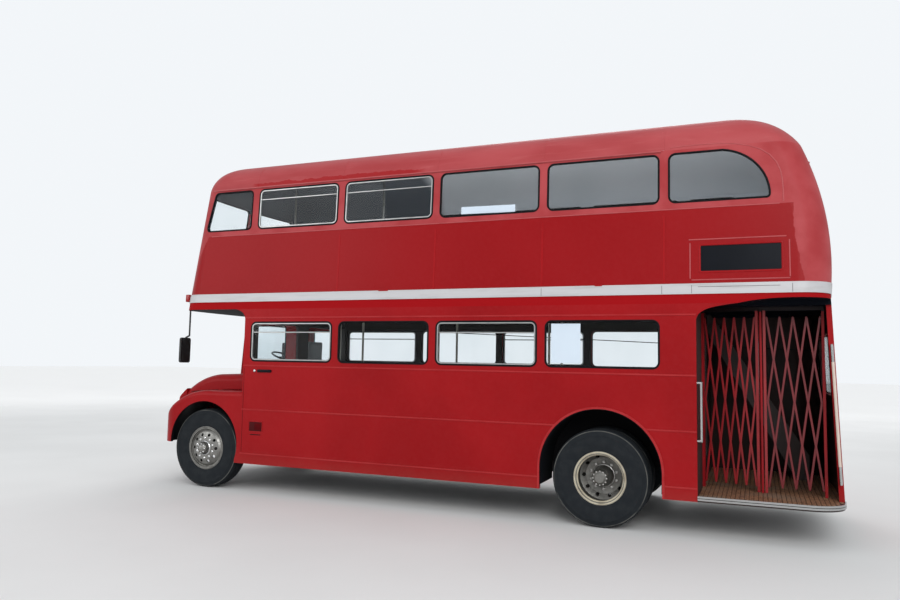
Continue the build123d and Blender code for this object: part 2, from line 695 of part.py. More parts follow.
with BuildPart() as rear_glass:
    add(shell(LOWER_LEVELS, GLASS_INSET, GLASS_INSET + GLASS))
    add(end_prisms([REAR_LOWER_WINDOW], REAR_X - 20, REAR_X + 400, FIT), mode=Mode.INTERSECT)

with BuildPart() as sign_openings:
    add(end_prisms([FRONT_SIGN], END_FACE_X, FRONT_X, FIT))
    add(end_prisms([REAR_SIGN], REAR_X, REAR_WALL_X, FIT))
    add(side_prism(window_face(*SIDE_SIGN, SIGN_CORNER, FIT), 0.0, FAR))
with BuildPart() as signs:
    add(sign_glass)
    add(sign_openings.part, mode=Mode.INTERSECT)
save(signs, "sign_boxes")

# Wings: crest profile over the front wheels, rounded in plan to the sides
WING_TOP_Z = 1250.0
CREST = [(3150.0, 1245.0), (3700.0, 1110.0), (4060.0, 700.0)]    # start, middle and end of the crest's arc
WING_FOOT = (4070.0, 560.0)
WING_INNER_Y = 750.0
WING_CORNER = 250.0
WING_CORNER_X = 3974.0
WING_FRONT_X = 4055.0
WING_SHOULDER = 60.0
WELL_RADIUS = 590.0
FRONT_ARCH = (3239.0, 575.0, 534.0)       # centre X, centre Z and radius of the opening in the side
LAMP_Y = 860.0
LAMP_Z = 770.0
LAMP_RADIUS = 95.0
LAMP_BACK_X = 3905.0


def crest_solid(y_low, y_high, lift=0.0, foot=SKIRT_Z):
    """Prism below the crest line of the wings."""
    crest = [(x, z + lift) for x, z in CREST]
    with BuildPart() as prism:
        with BuildSketch(Plane.XZ.offset(-y_low)):
            with BuildLine():
                Polyline(
                    crest[2],
                    WING_FOOT,
                    (FRONT_AXLE_X, WING_FOOT[1]),
                    (FRONT_AXLE_X, foot),
                    (SIDE_FRONT_X + FIT, foot),
                    (SIDE_FRONT_X + FIT, WING_TOP_Z + lift),
                    crest[0],
                )
                ThreePointArc(*crest)
            make_face()
        extrude(amount=-(y_high - y_low))
    return prism.part


def wing_plan(side):
    """Prism of one wing's plan: straight along the side, with a large corner at the front."""
    with BuildPart() as prism:
        with BuildSketch():
            with BuildLine():
                Polyline(
                    (WING_FRONT_X, side * WING_INNER_Y),
                    (SIDE_FRONT_X, side * WING_INNER_Y),
                    (SIDE_FRONT_X, side * BODY_HALF),
                    (WING_CORNER_X, side * BODY_HALF),
                    (WING_CORNER_X, side * (BODY_HALF - WING_CORNER)),
                    close=True,
                )
            plan = make_face()
            fillet(plan.vertices().sort_by(Axis((0, 0, 0), (1, side, 0)))[-1:], WING_CORNER - 1)
        extrude(amount=2 * WING_TOP_Z)
    return prism.part


def is_wing_shoulder(edge):
    """Upper outer edge of a wing: along the side or round the front corner, not across the wing."""
    middle = edge.center()
    foot, head = edge @ 0, edge @ 1
    outboard = abs(middle.Y) > WING_INNER_Y + 60 and middle.X > SIDE_FRONT_X + 50
    lengthwise = abs(abs(foot.Y) - abs(head.Y)) < 1 or middle.X > WING_CORNER_X - WING_CORNER
    return outboard and lengthwise and abs(foot.X - head.X) > 1


def wing(side):
    """Solid wing over one front wheel, with the wheel well, the arch and the headlamp pocket."""
    y_low, y_high = sorted([side * (WING_INNER_Y + FIT), side * (BODY_HALF + 50)])
    with BuildPart() as shape:
        add(crest_solid(y_low, y_high))
        add(wing_plan(side), mode=Mode.INTERSECT)
        rim = shape.faces().filter_by(lambda f: f.normal_at().Z > 0.3).edges()
        fillet(rim.filter_by(is_wing_shoulder), WING_SHOULDER)
        with BuildSketch(Plane.XZ.offset(-side * (BODY_HALF - WALL))):
            with Locations((FRONT_AXLE_X, TYRE_RADIUS)):
                Circle(WELL_RADIUS)
        extrude(amount=side * BODY_HALF, mode=Mode.SUBTRACT)
        with BuildSketch(Plane.XZ.offset(-side * (BODY_HALF + 20))):
            with Locations(FRONT_ARCH[:2]):
                Circle(FRONT_ARCH[2])
            with Locations((FRONT_ARCH[0], SKIRT_Z)):
                Rectangle(2 * FRONT_ARCH[2] - 60, 2 * (FRONT_ARCH[1] - SKIRT_Z) - 80)
        extrude(amount=side * 2 * BODY_HALF, mode=Mode.SUBTRACT)
        with BuildSketch(Plane.YZ.offset(LAMP_BACK_X - FIT)):
            with Locations((side * LAMP_Y, LAMP_Z)):
                Circle(LAMP_RADIUS + FIT)
        extrude(amount=400, mode=Mode.SUBTRACT)
    return shape.part


with BuildPart() as wings:
    add(wing(1))
    add(wing(-1))
save(wings, "front_wings")

# Nose between the wings with the scuttle in front of the windscreen, and the bonnet's crown line
BONNET_REAR_X = SIDE_FRONT_X + GAP
BONNET_FRONT_X = 3950.0
BONNET_OFFSIDE_Y = 38.0
BONNET_THICKNESS = 22.0
BONNET_SHOULDER = 100.0
CROWN_LINE = [(BONNET_REAR_X, 1482.0), (3440.0, 1448.0), (3780.0, 1352.0), (4090.0, 1110.0)]
NOSE_BACK_X = BONNET_FRONT_X + GAP
NOSE_FRONT_X = 4110.0
NOSE_CORNER = 45.0
SCREEN_FOOT_X = 3640.0
CAB_NEAR_Y = 20.0
CAB_FLOOR_Z = 1160.0
CAB_FLOOR = 39.0


def crown_solid(y_low, y_high, drop=0.0, foot=0.0):
    """Prism below the crown line of the bonnet and nose."""
    points = [(x, z - drop) for x, z in CROWN_LINE]
    with BuildPart() as prism:
        with BuildSketch(Plane.XZ.offset(-y_low)):
            with BuildLine():
                Line(points[0], points[1])
                ThreePointArc(points[1], points[2], points[3])
                Polyline(
                    points[3],
                    (NOSE_FRONT_X, points[3][1] - 60),
                    (NOSE_FRONT_X, foot),
                    (points[0][0], foot),
                    points[0],
                )
            make_face()
        extrude(amount=-(y_high - y_low))
    return prism.part


with BuildPart() as scuttle:
    add(crown_solid(-WING_INNER_Y, CAB_NEAR_Y - FIT, 0.0, WING_FOOT[1]))
    scuttle_x = (SCREEN_FOOT_X + FIT, NOSE_BACK_X + 1)
    add(block(*scuttle_x, -FAR, FAR, CAB_FLOOR_Z - CAB_FLOOR, FAR), mode=Mode.INTERSECT)
with BuildPart() as nose:
    add(crown_solid(-WING_INNER_Y, WING_INNER_Y, 0.0, WING_FOOT[1]))
    add(block(NOSE_BACK_X, FAR, -FAR, FAR, 0, FAR), mode=Mode.INTERSECT)
    fillet(nose.edges().filter_by(Axis.Z).sort_by(Axis.X)[-2:], NOSE_CORNER)
    add(scuttle.part)
save(nose, "nose_panel")

# Radiator grille: rounded surround, centre bar and upright slats on a back plate
GRILLE_HALF = 345.0
GRILLE_Z = (585.0, 1030.0)
GRILLE_RIM = 40.0
GRILLE_CORNER = 95.0
GRILLE_DEPTH = 58.0
GRILLE_BACK = 6.0
GRILLE_SLATS = 17
SLAT = 8.0
SLAT_REACH = 40.0
CENTRE_BAR_HALF = 14.0
grille_height = GRILLE_Z[1] - GRILLE_Z[0]
grille_plane = Plane((NOSE_FRONT_X + FIT, 0, sum(GRILLE_Z) / 2), x_dir=(0, 1, 0), z_dir=(1, 0, 0))
with BuildPart() as grille:
    with BuildSketch(grille_plane):
        RectangleRounded(2 * GRILLE_HALF, grille_height, GRILLE_CORNER)
        RectangleRounded(
            2 * (GRILLE_HALF - GRILLE_RIM),
            grille_height - 2 * GRILLE_RIM,
            GRILLE_CORNER - GRILLE_RIM,
            mode=Mode.SUBTRACT,
        )
    extrude(amount=GRILLE_DEPTH)
    fillet(grille.faces().sort_by(Axis.X)[-1].edges(), 12)
    with BuildSketch(grille_plane):
        RectangleRounded(2 * GRILLE_HALF - 20, grille_height - 20, GRILLE_CORNER - 10)
    extrude(amount=GRILLE_BACK)
    with BuildSketch(grille_plane):
        with GridLocations(2 * (GRILLE_HALF - GRILLE_RIM) / (GRILLE_SLATS + 1), 1, GRILLE_SLATS, 1):
            Rectangle(SLAT, grille_height - 1.5 * GRILLE_RIM)
    extrude(amount=SLAT_REACH)
    add(
        block(
            NOSE_FRONT_X + GRILLE_BACK - 1,
            FRONT_X,
            -CENTRE_BAR_HALF,
            CENTRE_BAR_HALF,
            GRILLE_Z[0] + 8,
            GRILLE_Z[1] - 8,
        )
    )
save(grille, "radiator_grille")

# Headlamps: a bowl in the wing, a rolled rim and a domed glass
LAMP_RIM_X = 4056.0
LAMP_GLASS_RADIUS = LAMP_RADIUS - 16.0
LAMP_DOME = 28.0              # how far the glass bulges out of the rim
with BuildPart() as lamp:
    with BuildSketch(Plane.XY):
        with BuildLine():
            Polyline(
                (LAMP_RIM_X - 10, LAMP_GLASS_RADIUS),
                (LAMP_RIM_X, LAMP_GLASS_RADIUS + 2),
                (LAMP_RIM_X, LAMP_RADIUS - 6),
                (LAMP_RIM_X - 8, LAMP_RADIUS),
                (LAMP_BACK_X, LAMP_RADIUS),
                (LAMP_BACK_X, 0),
                (LAMP_RIM_X - 10 + LAMP_DOME, 0),
            )
            ThreePointArc(
                (LAMP_RIM_X - 10 + LAMP_DOME, 0),
                (LAMP_RIM_X - 10 + 0.76 * LAMP_DOME, LAMP_GLASS_RADIUS / 2),
                (LAMP_RIM_X - 10, LAMP_GLASS_RADIUS),
            )
        make_face()
    revolve(axis=Axis.X)
with BuildPart() as headlamps:
    for side in (1, -1):
        add(lamp.part.moved(Location((0, side * LAMP_Y, LAMP_Z))))
save(headlamps, "headlamps")

# Cab on the offside: walls with windscreen, side window and door opening
SCREEN_HEAD_X = 3565.0
SCREEN_LEAN_Z = 1300.0        # below here the front of the cab is upright
DOOR_STAND = 12.0
DOOR_PANEL = 22.0
DOOR_OUTER_Y = -(BODY_HALF + DOOR_STAND + DOOR_PANEL)
DOOR_TRAVEL = 570.0
DOOR_RAIL_Z = (1292.0, 2168.0)
DOOR_RAIL_FRONT_X = 3310.0
DOOR_RAIL_HEIGHT = 10.0
DOOR_RAIL_DEPTH = 28.0
CAB_WALL = 45.0
CAB_CORNER = 110.0
CAB_GLASS_INSET = 20.0
DOOR_OPENING = (2705.0, 3265.0, 1310.0, 2150.0)
DOOR_LAP = (20.0, 20.0, 48.0, 66.0)   # how far the door laps its opening: rear, front, foot and head
SCREEN = (-1110.0, -70.0, 1440.0, 2180.0, 70.0)
CAB_SIDE_WINDOW = (2860.0, 3440.0, 1580.0, 2150.0)
CAB_WINDOW_CORNER = 60.0

# Hinges of the bonnet along the top of the cab's near wall
BONNET_HINGES = (2800.0, 3500.0)
BONNET_HINGE_Y = 30.0
BONNET_HINGE_Z = 1500.0
BONNET_EYE_RADIUS = 11.0
BONNET_EYE_HALF = 13.0
BONNET_EAR = 6.0
BONNET_EAR_INNER = BONNET_EYE_HALF + GAP
BONNET_PIN_HALF = BONNET_EAR_INNER + BONNET_EAR / 2


def cab_solid(y_low, y_high, inset, foot):
    """Cab form with the windscreen's lean, from foot up to the upper deck."""
    with BuildPart() as form:
        with BuildSketch(Plane.XZ.offset(-y_low)):
            with BuildLine():
                Polyline(
                    (SIDE_FRONT_X + FIT - (10 * inset), foot),
                    (SCREEN_FOOT_X - inset, foot),
                    (SCREEN_FOOT_X - inset, SCREEN_LEAN_Z),
                    (SCREEN_HEAD_X - inset, DECK_Z - FIT + inset),
                    (SIDE_FRONT_X + FIT - (10 * inset), DECK_Z - FIT + inset),
                    close=True,
                )
            make_face()
        extrude(amount=-(y_high - y_low))
        corner = form.edges().filter_by(lambda e: e.center().Y < -100 and e.center().X > SCREEN_HEAD_X - 100)
        fillet(corner.filter_by(lambda e: abs((e @ 0).Z - (e @ 1).Z) > 50), CAB_CORNER - inset)
    return form.part


with BuildPart() as cab:
    add(cab_solid(-BODY_HALF, CAB_NEAR_Y, 0.0, CAB_FLOOR_Z - CAB_FLOOR))
    add(cab_solid(-BODY_HALF + CAB_WALL, CAB_NEAR_Y - CAB_WALL, CAB_WALL, CAB_FLOOR_Z), mode=Mode.SUBTRACT)
    add(crest_solid(-BODY_HALF - 100, -WING_INNER_Y + FIT, FIT), mode=Mode.SUBTRACT)
    add(end_prisms([SCREEN], SCREEN_HEAD_X - 200, FRONT_X), mode=Mode.SUBTRACT)
    add(side_prism(window_face(*CAB_SIDE_WINDOW, CAB_WINDOW_CORNER), -200, 200), mode=Mode.SUBTRACT)
    add(side_prism(window_face(*DOOR_OPENING, 50), -BODY_HALF - 50, -BODY_HALF + 200), mode=Mode.SUBTRACT)
    for rail_z in DOOR_RAIL_Z:
        outer_y = -(BODY_HALF + DOOR_RAIL_DEPTH)
        rail_span = (rail_z - DOOR_RAIL_HEIGHT / 2, rail_z + DOOR_RAIL_HEIGHT / 2)
        rail_rear_x = DOOR_OPENING[0] - DOOR_LAP[0] - DOOR_TRAVEL - 25
        add(block(rail_rear_x, DOOR_RAIL_FRONT_X, outer_y, -(BODY_HALF + FIT), *rail_span))
        add(block(SIDE_FRONT_X + FIT, DOOR_RAIL_FRONT_X, outer_y, -(BODY_HALF - 1), *rail_span))
    for hinge_x in BONNET_HINGES:
        with BuildSketch(Plane.YZ.offset(hinge_x - BONNET_EYE_HALF)):
            with Locations((BONNET_HINGE_Y, BONNET_HINGE_Z)):
                Circle(BONNET_EYE_RADIUS)
                Circle(PIN_RADIUS + PIN_FIT, mode=Mode.SUBTRACT)
            with Locations((CAB_NEAR_Y + 0.5, BONNET_HINGE_Z)):
                Rectangle(3, 14)
        extrude(amount=2 * BONNET_EYE_HALF)
save(cab, "cab_shell")

with BuildPart() as cab_openings:
    add(end_prisms([SCREEN], SCREEN_HEAD_X - 80, FRONT_X, FIT))
    add(side_prism(window_face(*CAB_SIDE_WINDOW, CAB_WINDOW_CORNER, FIT), -30, 200))
with BuildPart() as cab_glass:
    for inset, foot, mode in (
        (CAB_GLASS_INSET, CAB_FLOOR_Z, Mode.ADD),
        (CAB_GLASS_INSET + GLASS, CAB_FLOOR_Z - 20, Mode.SUBTRACT),
    ):
        add(cab_solid(-BODY_HALF + inset, CAB_NEAR_Y - inset, inset, foot), mode=mode)
    add(cab_openings.part, mode=Mode.INTERSECT)

with BuildPart() as end_glass:
    add(cab_glass.part)
    add(upper_front_glass.part)
    add(rear_glass.part)
    add(end_prisms(BULKHEAD_WINDOWS, BULKHEAD_X - GLASS / 2, BULKHEAD_X + GLASS / 2, FIT))
save(end_glass, "end_glass")

# Cab door, sliding rearward outside the wall on two rails
DOOR_WINDOW = (2765.0, 3205.0, 1640.0, 2130.0)
DOOR_WINDOW_CORNER = 50.0
DOOR_GLASS_INSET = 7.0
DOOR_RUNNER_FIT = 0.5
DOOR_OUTLINE = (
    DOOR_OPENING[0] - DOOR_LAP[0],
    DOOR_OPENING[1] + DOOR_LAP[1],
    DOOR_OPENING[2] - DOOR_LAP[2],
    DOOR_OPENING[3] + DOOR_LAP[3],
)
with BuildPart() as cab_door:
    add(side_prism(window_face(*DOOR_OUTLINE, 30), DOOR_OUTER_Y, DOOR_OUTER_Y + DOOR_PANEL))
    add(side_prism(window_face(*DOOR_WINDOW, DOOR_WINDOW_CORNER), -2 * BODY_HALF, 0), mode=Mode.SUBTRACT)
    for rail_z in DOOR_RAIL_Z:
        half = DOOR_RAIL_HEIGHT / 2 + DOOR_RUNNER_FIT
        groove_y = -(BODY_HALF + DOOR_RAIL_DEPTH + DOOR_RUNNER_FIT)
        add(block(0, FAR, groove_y, 0, rail_z - half, rail_z + half), mode=Mode.SUBTRACT)
save(cab_door, "cab_door")

with BuildPart() as cab_door_glass:
    pane_y = DOOR_OUTER_Y + DOOR_GLASS_INSET
    add(side_prism(window_face(*DOOR_WINDOW, DOOR_WINDOW_CORNER, FIT), pane_y, pane_y + GLASS))
save(cab_door_glass, "cab_door_glass")


# Bonnet: one-piece top and nearside skirt, hinged along the cab
def bonnet_form(y_low, inset):
    with BuildPart() as form:
        add(crown_solid(y_low, WING_INNER_Y - inset, inset, 600))
        top = form.faces().filter_by(lambda f: f.normal_at().Z > 0.3).edges()
        shoulder = top.filter_by(lambda e: e.center().Y > WING_INNER_Y - inset - 1)
        fillet(shoulder.filter_by(lambda e: e.center().X < NOSE_BACK_X + 60), BONNET_SHOULDER - inset)
    return form.part


with BuildPart() as bonnet:
    add(bonnet_form(BONNET_OFFSIDE_Y, 0.0))
    add(bonnet_form(-200.0, BONNET_THICKNESS), mode=Mode.SUBTRACT)
    add(crest_solid(-200, WING_INNER_Y + 50, GAP, 0.0), mode=Mode.SUBTRACT)
    add(block(BONNET_REAR_X, BONNET_FRONT_X, BONNET_OFFSIDE_Y, FAR, 500, FAR), mode=Mode.INTERSECT)
    for hinge_x in BONNET_HINGES:
        for ear_x in (hinge_x - BONNET_EAR_INNER - BONNET_EAR, hinge_x + BONNET_EAR_INNER):
            with BuildSketch(Plane.YZ.offset(ear_x)):
                with Locations((BONNET_HINGE_Y, BONNET_HINGE_Z)):
                    Circle(BONNET_EYE_RADIUS - 2)
                with BuildLine():
                    Polyline(
                        (BONNET_HINGE_Y - 4, BONNET_HINGE_Z + 8),
                        (BONNET_HINGE_Y + 50, BONNET_HINGE_Z - 60),
                        (BONNET_OFFSIDE_Y, BONNET_HINGE_Z - 80),
                        (BONNET_OFFSIDE_Y, BONNET_HINGE_Z - 24),
                        (BONNET_HINGE_Y - 4, BONNET_HINGE_Z - 8),
                        close=True,
                    )
                make_face()
            extrude(amount=BONNET_EAR)
        with BuildSketch(Plane.YZ.offset(hinge_x - BONNET_PIN_HALF)):
            with Locations((BONNET_HINGE_Y, BONNET_HINGE_Z)):
                Circle(PIN_RADIUS)
        extrude(amount=2 * BONNET_PIN_HALF)
save(bonnet, "bonnet")

# Emergency door at the rear of the upper deck, hinged at its top
with BuildPart() as emergency_door:
    add(upper_shell)
    add(end_prisms([EMERGENCY], REAR_X, REAR_WALL_X, GAP + 2), mode=Mode.INTERSECT)
    add(end_prisms(EMERGENCY_PANES, REAR_X, REAR_WALL_X), mode=Mode.SUBTRACT)
    for hinge_y in EMERGENCY_HINGES:
        for ear_y in (hinge_y - EMERGENCY_EAR_INNER - EMERGENCY_EAR, hinge_y + EMERGENCY_EAR_INNER):
            with BuildSketch(Plane.XZ.offset(-ear_y)):
                with Locations((EMERGENCY_HINGE_X, EMERGENCY_HINGE_Z)):
                    Circle(EMERGENCY_EYE_RADIUS - 1)
                with Locations((EMERGENCY_HINGE_X - 8, EMERGENCY_HINGE_Z - 2)):
                    Rectangle(WALL + 4, 38, align=(Align.MIN, Align.MAX))
            extrude(amount=-EMERGENCY_EAR)
        with BuildSketch(Plane.XZ.offset(-(hinge_y - EMERGENCY_PIN_HALF))):
            with Locations((EMERGENCY_HINGE_X, EMERGENCY_HINGE_Z)):
                Circle(PIN_RADIUS)
        extrude(amount=-2 * EMERGENCY_PIN_HALF)
save(emergency_door, "emergency_door")

with BuildPart() as emergency_glass:
    add(upper_glass)
    add(end_prisms(EMERGENCY_PANES, REAR_X, REAR_WALL_X, FIT), mode=Mode.INTERSECT)
save(emergency_glass, "emergency_glass")

# Front axle beam with the kingpin bosses
AXLE_Z = TYRE_RADIUS
AXLE_HALF = 45.0
AXLE_BEAM_Z = (300.0, 390.0)
AXLE_RISE_Y = (745.0, 810.0)
BOSS_RADIUS = 45.0
BOSS_HALF = 60.0              # half the height of a kingpin boss
BOSS_Z = 500.0
EAR = 34.0                    # thickness of the knuckle's ears, above and below the boss
EAR_GAP = 6.0
EAR_RADIUS = 40.0
KNUCKLE_HALF = 35.0
with BuildPart() as front_axle:
    add(block(FRONT_AXLE_X - AXLE_HALF, FRONT_AXLE_X + AXLE_HALF, -800, 800, *AXLE_BEAM_Z))
    for side in (1, -1):
        rise_y = sorted([side * AXLE_RISE_Y[0], side * AXLE_RISE_Y[1]])
        boss_y = sorted([side * AXLE_RISE_Y[0], side * KINGPIN_Y])
        arm_x = (FRONT_AXLE_X - AXLE_HALF + 7, FRONT_AXLE_X + AXLE_HALF - 7)
        add(block(*arm_x, *rise_y, AXLE_BEAM_Z[0], BOSS_Z + BOSS_HALF - 6))
        add(block(*arm_x, *boss_y, BOSS_Z - BOSS_HALF + 6, BOSS_Z + BOSS_HALF - 6))
        with BuildSketch(Plane.XY.offset(BOSS_Z - BOSS_HALF)):
            with Locations((FRONT_AXLE_X, side * KINGPIN_Y)):
                Circle(BOSS_RADIUS)
        extrude(amount=2 * BOSS_HALF)
    for side in (1, -1):
        with BuildSketch(Plane.XY.offset(BOSS_Z - BOSS_HALF - 10)):
            with Locations((FRONT_AXLE_X, side * KINGPIN_Y)):
                Circle(KINGPIN_RADIUS + PIN_FIT)
        extrude(amount=2 * BOSS_HALF + 20, mode=Mode.SUBTRACT)
save(front_axle, "front_axle_beam")


def knuckle(name, side):
    """Kingpin between two ears, a yoke and the wheel spindle."""
    ear_y = sorted([side * KINGPIN_Y, side * (KINGPIN_Y + 60)])
    yoke_y = sorted([side * (KINGPIN_Y + 51), side * (KINGPIN_Y + 86)])
    knuckle_x = (FRONT_AXLE_X - KNUCKLE_HALF, FRONT_AXLE_X + KNUCKLE_HALF)
    foot = BOSS_Z - BOSS_HALF - EAR_GAP - EAR
    head = BOSS_Z + BOSS_HALF + EAR_GAP + EAR
    with BuildPart() as piece:
        for low in (foot, head - EAR):
            add(block(*knuckle_x, *ear_y, low, low + EAR))
            with BuildSketch(Plane.XY.offset(low)):
                with Locations((FRONT_AXLE_X, side * KINGPIN_Y)):
                    Circle(EAR_RADIUS)
            extrude(amount=EAR)
        with BuildSketch(Plane.XY.offset(foot - 5)):
            with Locations((FRONT_AXLE_X, side * KINGPIN_Y)):
                Circle(KINGPIN_RADIUS)
        extrude(amount=head - foot + 10)
        add(block(*knuckle_x, *yoke_y, foot, head))
        with BuildSketch(Plane.XZ.offset(-side * (KINGPIN_Y + 80))):
            with Locations((FRONT_AXLE_X, AXLE_Z)):
                Circle(FRONT_SPINDLE_RADIUS)
        extrude(amount=-side * (FRONT_WHEEL_Y + 100 - KINGPIN_Y - 80))
    save(piece, name)


knuckle("front_knuckle_nearside", 1)
knuckle("front_knuckle_offside", -1)


def turned(axle_x, centre_y, side, points):
    """Solid turned about an axle, from (outboard offset, radius) points."""
    with BuildPart() as piece:
        with BuildSketch(Plane.YZ.offset(axle_x)):
            with BuildLine():
                Polyline([(side * (centre_y + out), AXLE_Z + radius) for out, radius in points], close=True)
            make_face()
        revolve(axis=Axis((axle_x, 0, AXLE_Z), (0, 1, 0)))
    return piece.part


# Tyre section as (outboard offset, radius) over a half: seat, bead, sidewall, shoulder, tread
TYRE_HALF = [
    (94.7, RIM_RADIUS),
    (94.7, 275.5),
    (107.0, 277.5),
    (121.0, 330.0),
    (125.0, 385.0),
    (119.0, 440.0),
    (108.0, 480.0),
    (92.0, 497.0),
    (60.0, TYRE_RADIUS),
]
TYRE_SECTION = TYRE_HALF + [(-out, radius) for out, radius in reversed(TYRE_HALF)]
HUB_REACH = 223.0
FRONT_RIM = [
    (-105, 275), (-105, 246), (58, 246), (90, 196), (108, 150), (110, 75), (-60, 75),
    (-60, FRONT_SPINDLE_RADIUS + PIN_FIT), (112, FRONT_SPINDLE_RADIUS + PIN_FIT), (112, 0),
    (HUB_REACH, 0), (212, 40), (180, 66), (128, 84), (124, 150), (104, 205), (72, 246), (105, 246),
    (105, 275), (95, 275), (95, RIM_RADIUS - FIT), (-95, RIM_RADIUS - FIT), (-95, 275),
]
REAR_RIM = [
    (250, 275), (240, 275), (240, RIM_RADIUS - FIT), (50, RIM_RADIUS - FIT), (50, 275), (40, 275), (40, 246),
    (0, 180), (-40, 246), (-40, 275), (-50, 275), (-50, RIM_RADIUS - FIT), (-240, RIM_RADIUS - FIT),
    (-240, 275), (-250, 275), (-250, 246), (-60, 246), (-25, 190), (-12, 120), (-12, 100), (-120, 100),
    (-120, REAR_SPINDLE_RADIUS + PIN_FIT), (140, REAR_SPINDLE_RADIUS + PIN_FIT), (140, 0), (262, 0),
    (262, 45), (240, 70), (200, 90), (12, 100), (12, 120), (25, 190), (60, 246), (250, 246),
]
HOLES = 10
HOLE_RADIUS = 20.0
HOLE_CIRCLE = 172.0
REAR_HOLE_CIRCLE = 208.0
for side, hand in ((1, "nearside"), (-1, "offside")):
    with BuildPart() as tyre:
        add(turned(FRONT_AXLE_X, FRONT_WHEEL_Y, side, TYRE_SECTION))
    save(tyre, f"front_tyre_{hand}")
    with BuildPart() as rim:
        add(turned(FRONT_AXLE_X, FRONT_WHEEL_Y, side, FRONT_RIM))
        with BuildSketch(Plane.XZ.offset(-side * (FRONT_WHEEL_Y + 60))):
            with Locations((FRONT_AXLE_X, AXLE_Z)):
                with PolarLocations(HOLE_CIRCLE, HOLES):
                    Circle(HOLE_RADIUS)
        extrude(amount=-side * 100, mode=Mode.SUBTRACT)
    save(rim, f"front_rim_{hand}")
    with BuildPart() as tyres:
        add(turned(REAR_AXLE_X, REAR_WHEEL_Y + TWIN_SPACING / 2, side, TYRE_SECTION))
        add(turned(REAR_AXLE_X, REAR_WHEEL_Y - TWIN_SPACING / 2, side, TYRE_SECTION))
    save(tyres, f"rear_tyres_{hand}")
    with BuildPart() as rims:
        add(turned(REAR_AXLE_X, REAR_WHEEL_Y, side, REAR_RIM))
        with BuildSketch(Plane.XZ.offset(-side * (REAR_WHEEL_Y - 70))):
            with Locations((REAR_AXLE_X, AXLE_Z)):
                with PolarLocations(REAR_HOLE_CIRCLE, HOLES):
                    Circle(HOLE_RADIUS)
        extrude(amount=-side * 140, mode=Mode.SUBTRACT)
    save(rims, f"rear_rims_{hand}")

# Rear axle: tube, differential, spring arms and spindles
SPRING_Y = 520.0
REAR_SPRING_X = REAR_AXLE_X - 215.0
AXLE_TUBE_RADIUS = 72.0
AXLE_TUBE_HALF = REAR_WHEEL_Y - 140.0
REAR_SPINDLE_HALF = REAR_WHEEL_Y + 130.0
DIFFERENTIAL_RADIUS = 160.0
DIFFERENTIAL_Z = (333.0, 583.0)
SPRING_ARM_HALF = 50.0
SPRING_ARM_Z = (400.0, 450.0)
with BuildPart() as rear_axle:
    for radius, half in ((REAR_SPINDLE_RADIUS, REAR_SPINDLE_HALF), (AXLE_TUBE_RADIUS, AXLE_TUBE_HALF)):
        with BuildSketch(Plane.XZ.offset(-half)):
            with Locations((REAR_AXLE_X, AXLE_Z)):
                Circle(radius)
        extrude(amount=2 * half)
    with BuildSketch(Plane.XY.offset(DIFFERENTIAL_Z[0])):
        with Locations((REAR_AXLE_X, 0)):
            Circle(DIFFERENTIAL_RADIUS)
    extrude(amount=DIFFERENTIAL_Z[1] - DIFFERENTIAL_Z[0])
    for side in (1, -1):
        arm_y = sorted([side * (SPRING_Y - SPRING_ARM_HALF), side * (SPRING_Y + SPRING_ARM_HALF)])
        add(block(REAR_SPRING_X - 80, REAR_AXLE_X, *arm_y, *SPRING_ARM_Z))
save(rear_axle, "rear_axle")


def spring(x, y, low, high, radius, coils):
    """Coil spring envelope: a turned stack of rounded coils."""
    pitch = (high - low) / coils
    points = [(0, low)]
    for coil in range(coils):
        base = low + coil * pitch
        points += [(radius - 14, base), (radius, base + 0.3 * pitch), (radius, base + 0.7 * pitch)]
    points += [(radius - 14, high), (0, high)]
    with BuildPart() as piece:
        with BuildSketch(Plane.XZ):
            with BuildLine():
                Polyline(points, close=True)
            make_face()
        revolve(axis=Axis.Z)
    return piece.part.moved(Location((x, y, 0)))


FRONT_SPRING_Y = 570.0
SPRING_BRACKET_Z = 560.0
with BuildPart() as springs:
    for side in (1, -1):
        add(spring(REAR_SPRING_X, side * SPRING_Y, SPRING_ARM_Z[1] + FIT, FLOOR_LOW_Z - FIT, 65, 4))
        add(spring(FRONT_AXLE_X, side * FRONT_SPRING_Y, AXLE_BEAM_Z[1] + FIT, SPRING_BRACKET_Z - FIT, 58, 5))
save(springs, "springs")

# Underframe: two channel rails, cross members between them and outriggers under the floor
CHASSIS_Y = 400.0
CHASSIS_WIDTH = 70.0
CHASSIS_PLATE = 10.0
CHASSIS_Z = (430.0, 580.0)
CHASSIS_REAR_X = -1560.0      # behind here only the upper flange runs on, over the rear axle
CHASSIS_OUTER_Y = CHASSIS_Y + CHASSIS_WIDTH / 2
CHASSIS_INNER_Y = CHASSIS_Y - CHASSIS_WIDTH / 2
REAR_FLANGE_Z = (AXLE_Z + AXLE_TUBE_RADIUS + 3.0, FLOOR_LOW_Z - FIT)
BEARERS = [-2750.0, -1150.0, 0.0, 1000.0, 2000.0, 2500.0]
BEARER_HALF = 30.0
BEARER_Z = (540.0, FLOOR_LOW_Z - FIT)
FRONT_MEMBER_X = (3880.0, BONNET_FRONT_X)
SPRING_BRACKET_HALF = 65.0
TOW_EYE = (3990.0, 500.0)     # X and Z of the bore in the towing lug
TOW_EYE_BORE = 19.0
TOW_LUG_RADIUS = 42.0
TOW_LUG_HALF = 15.0


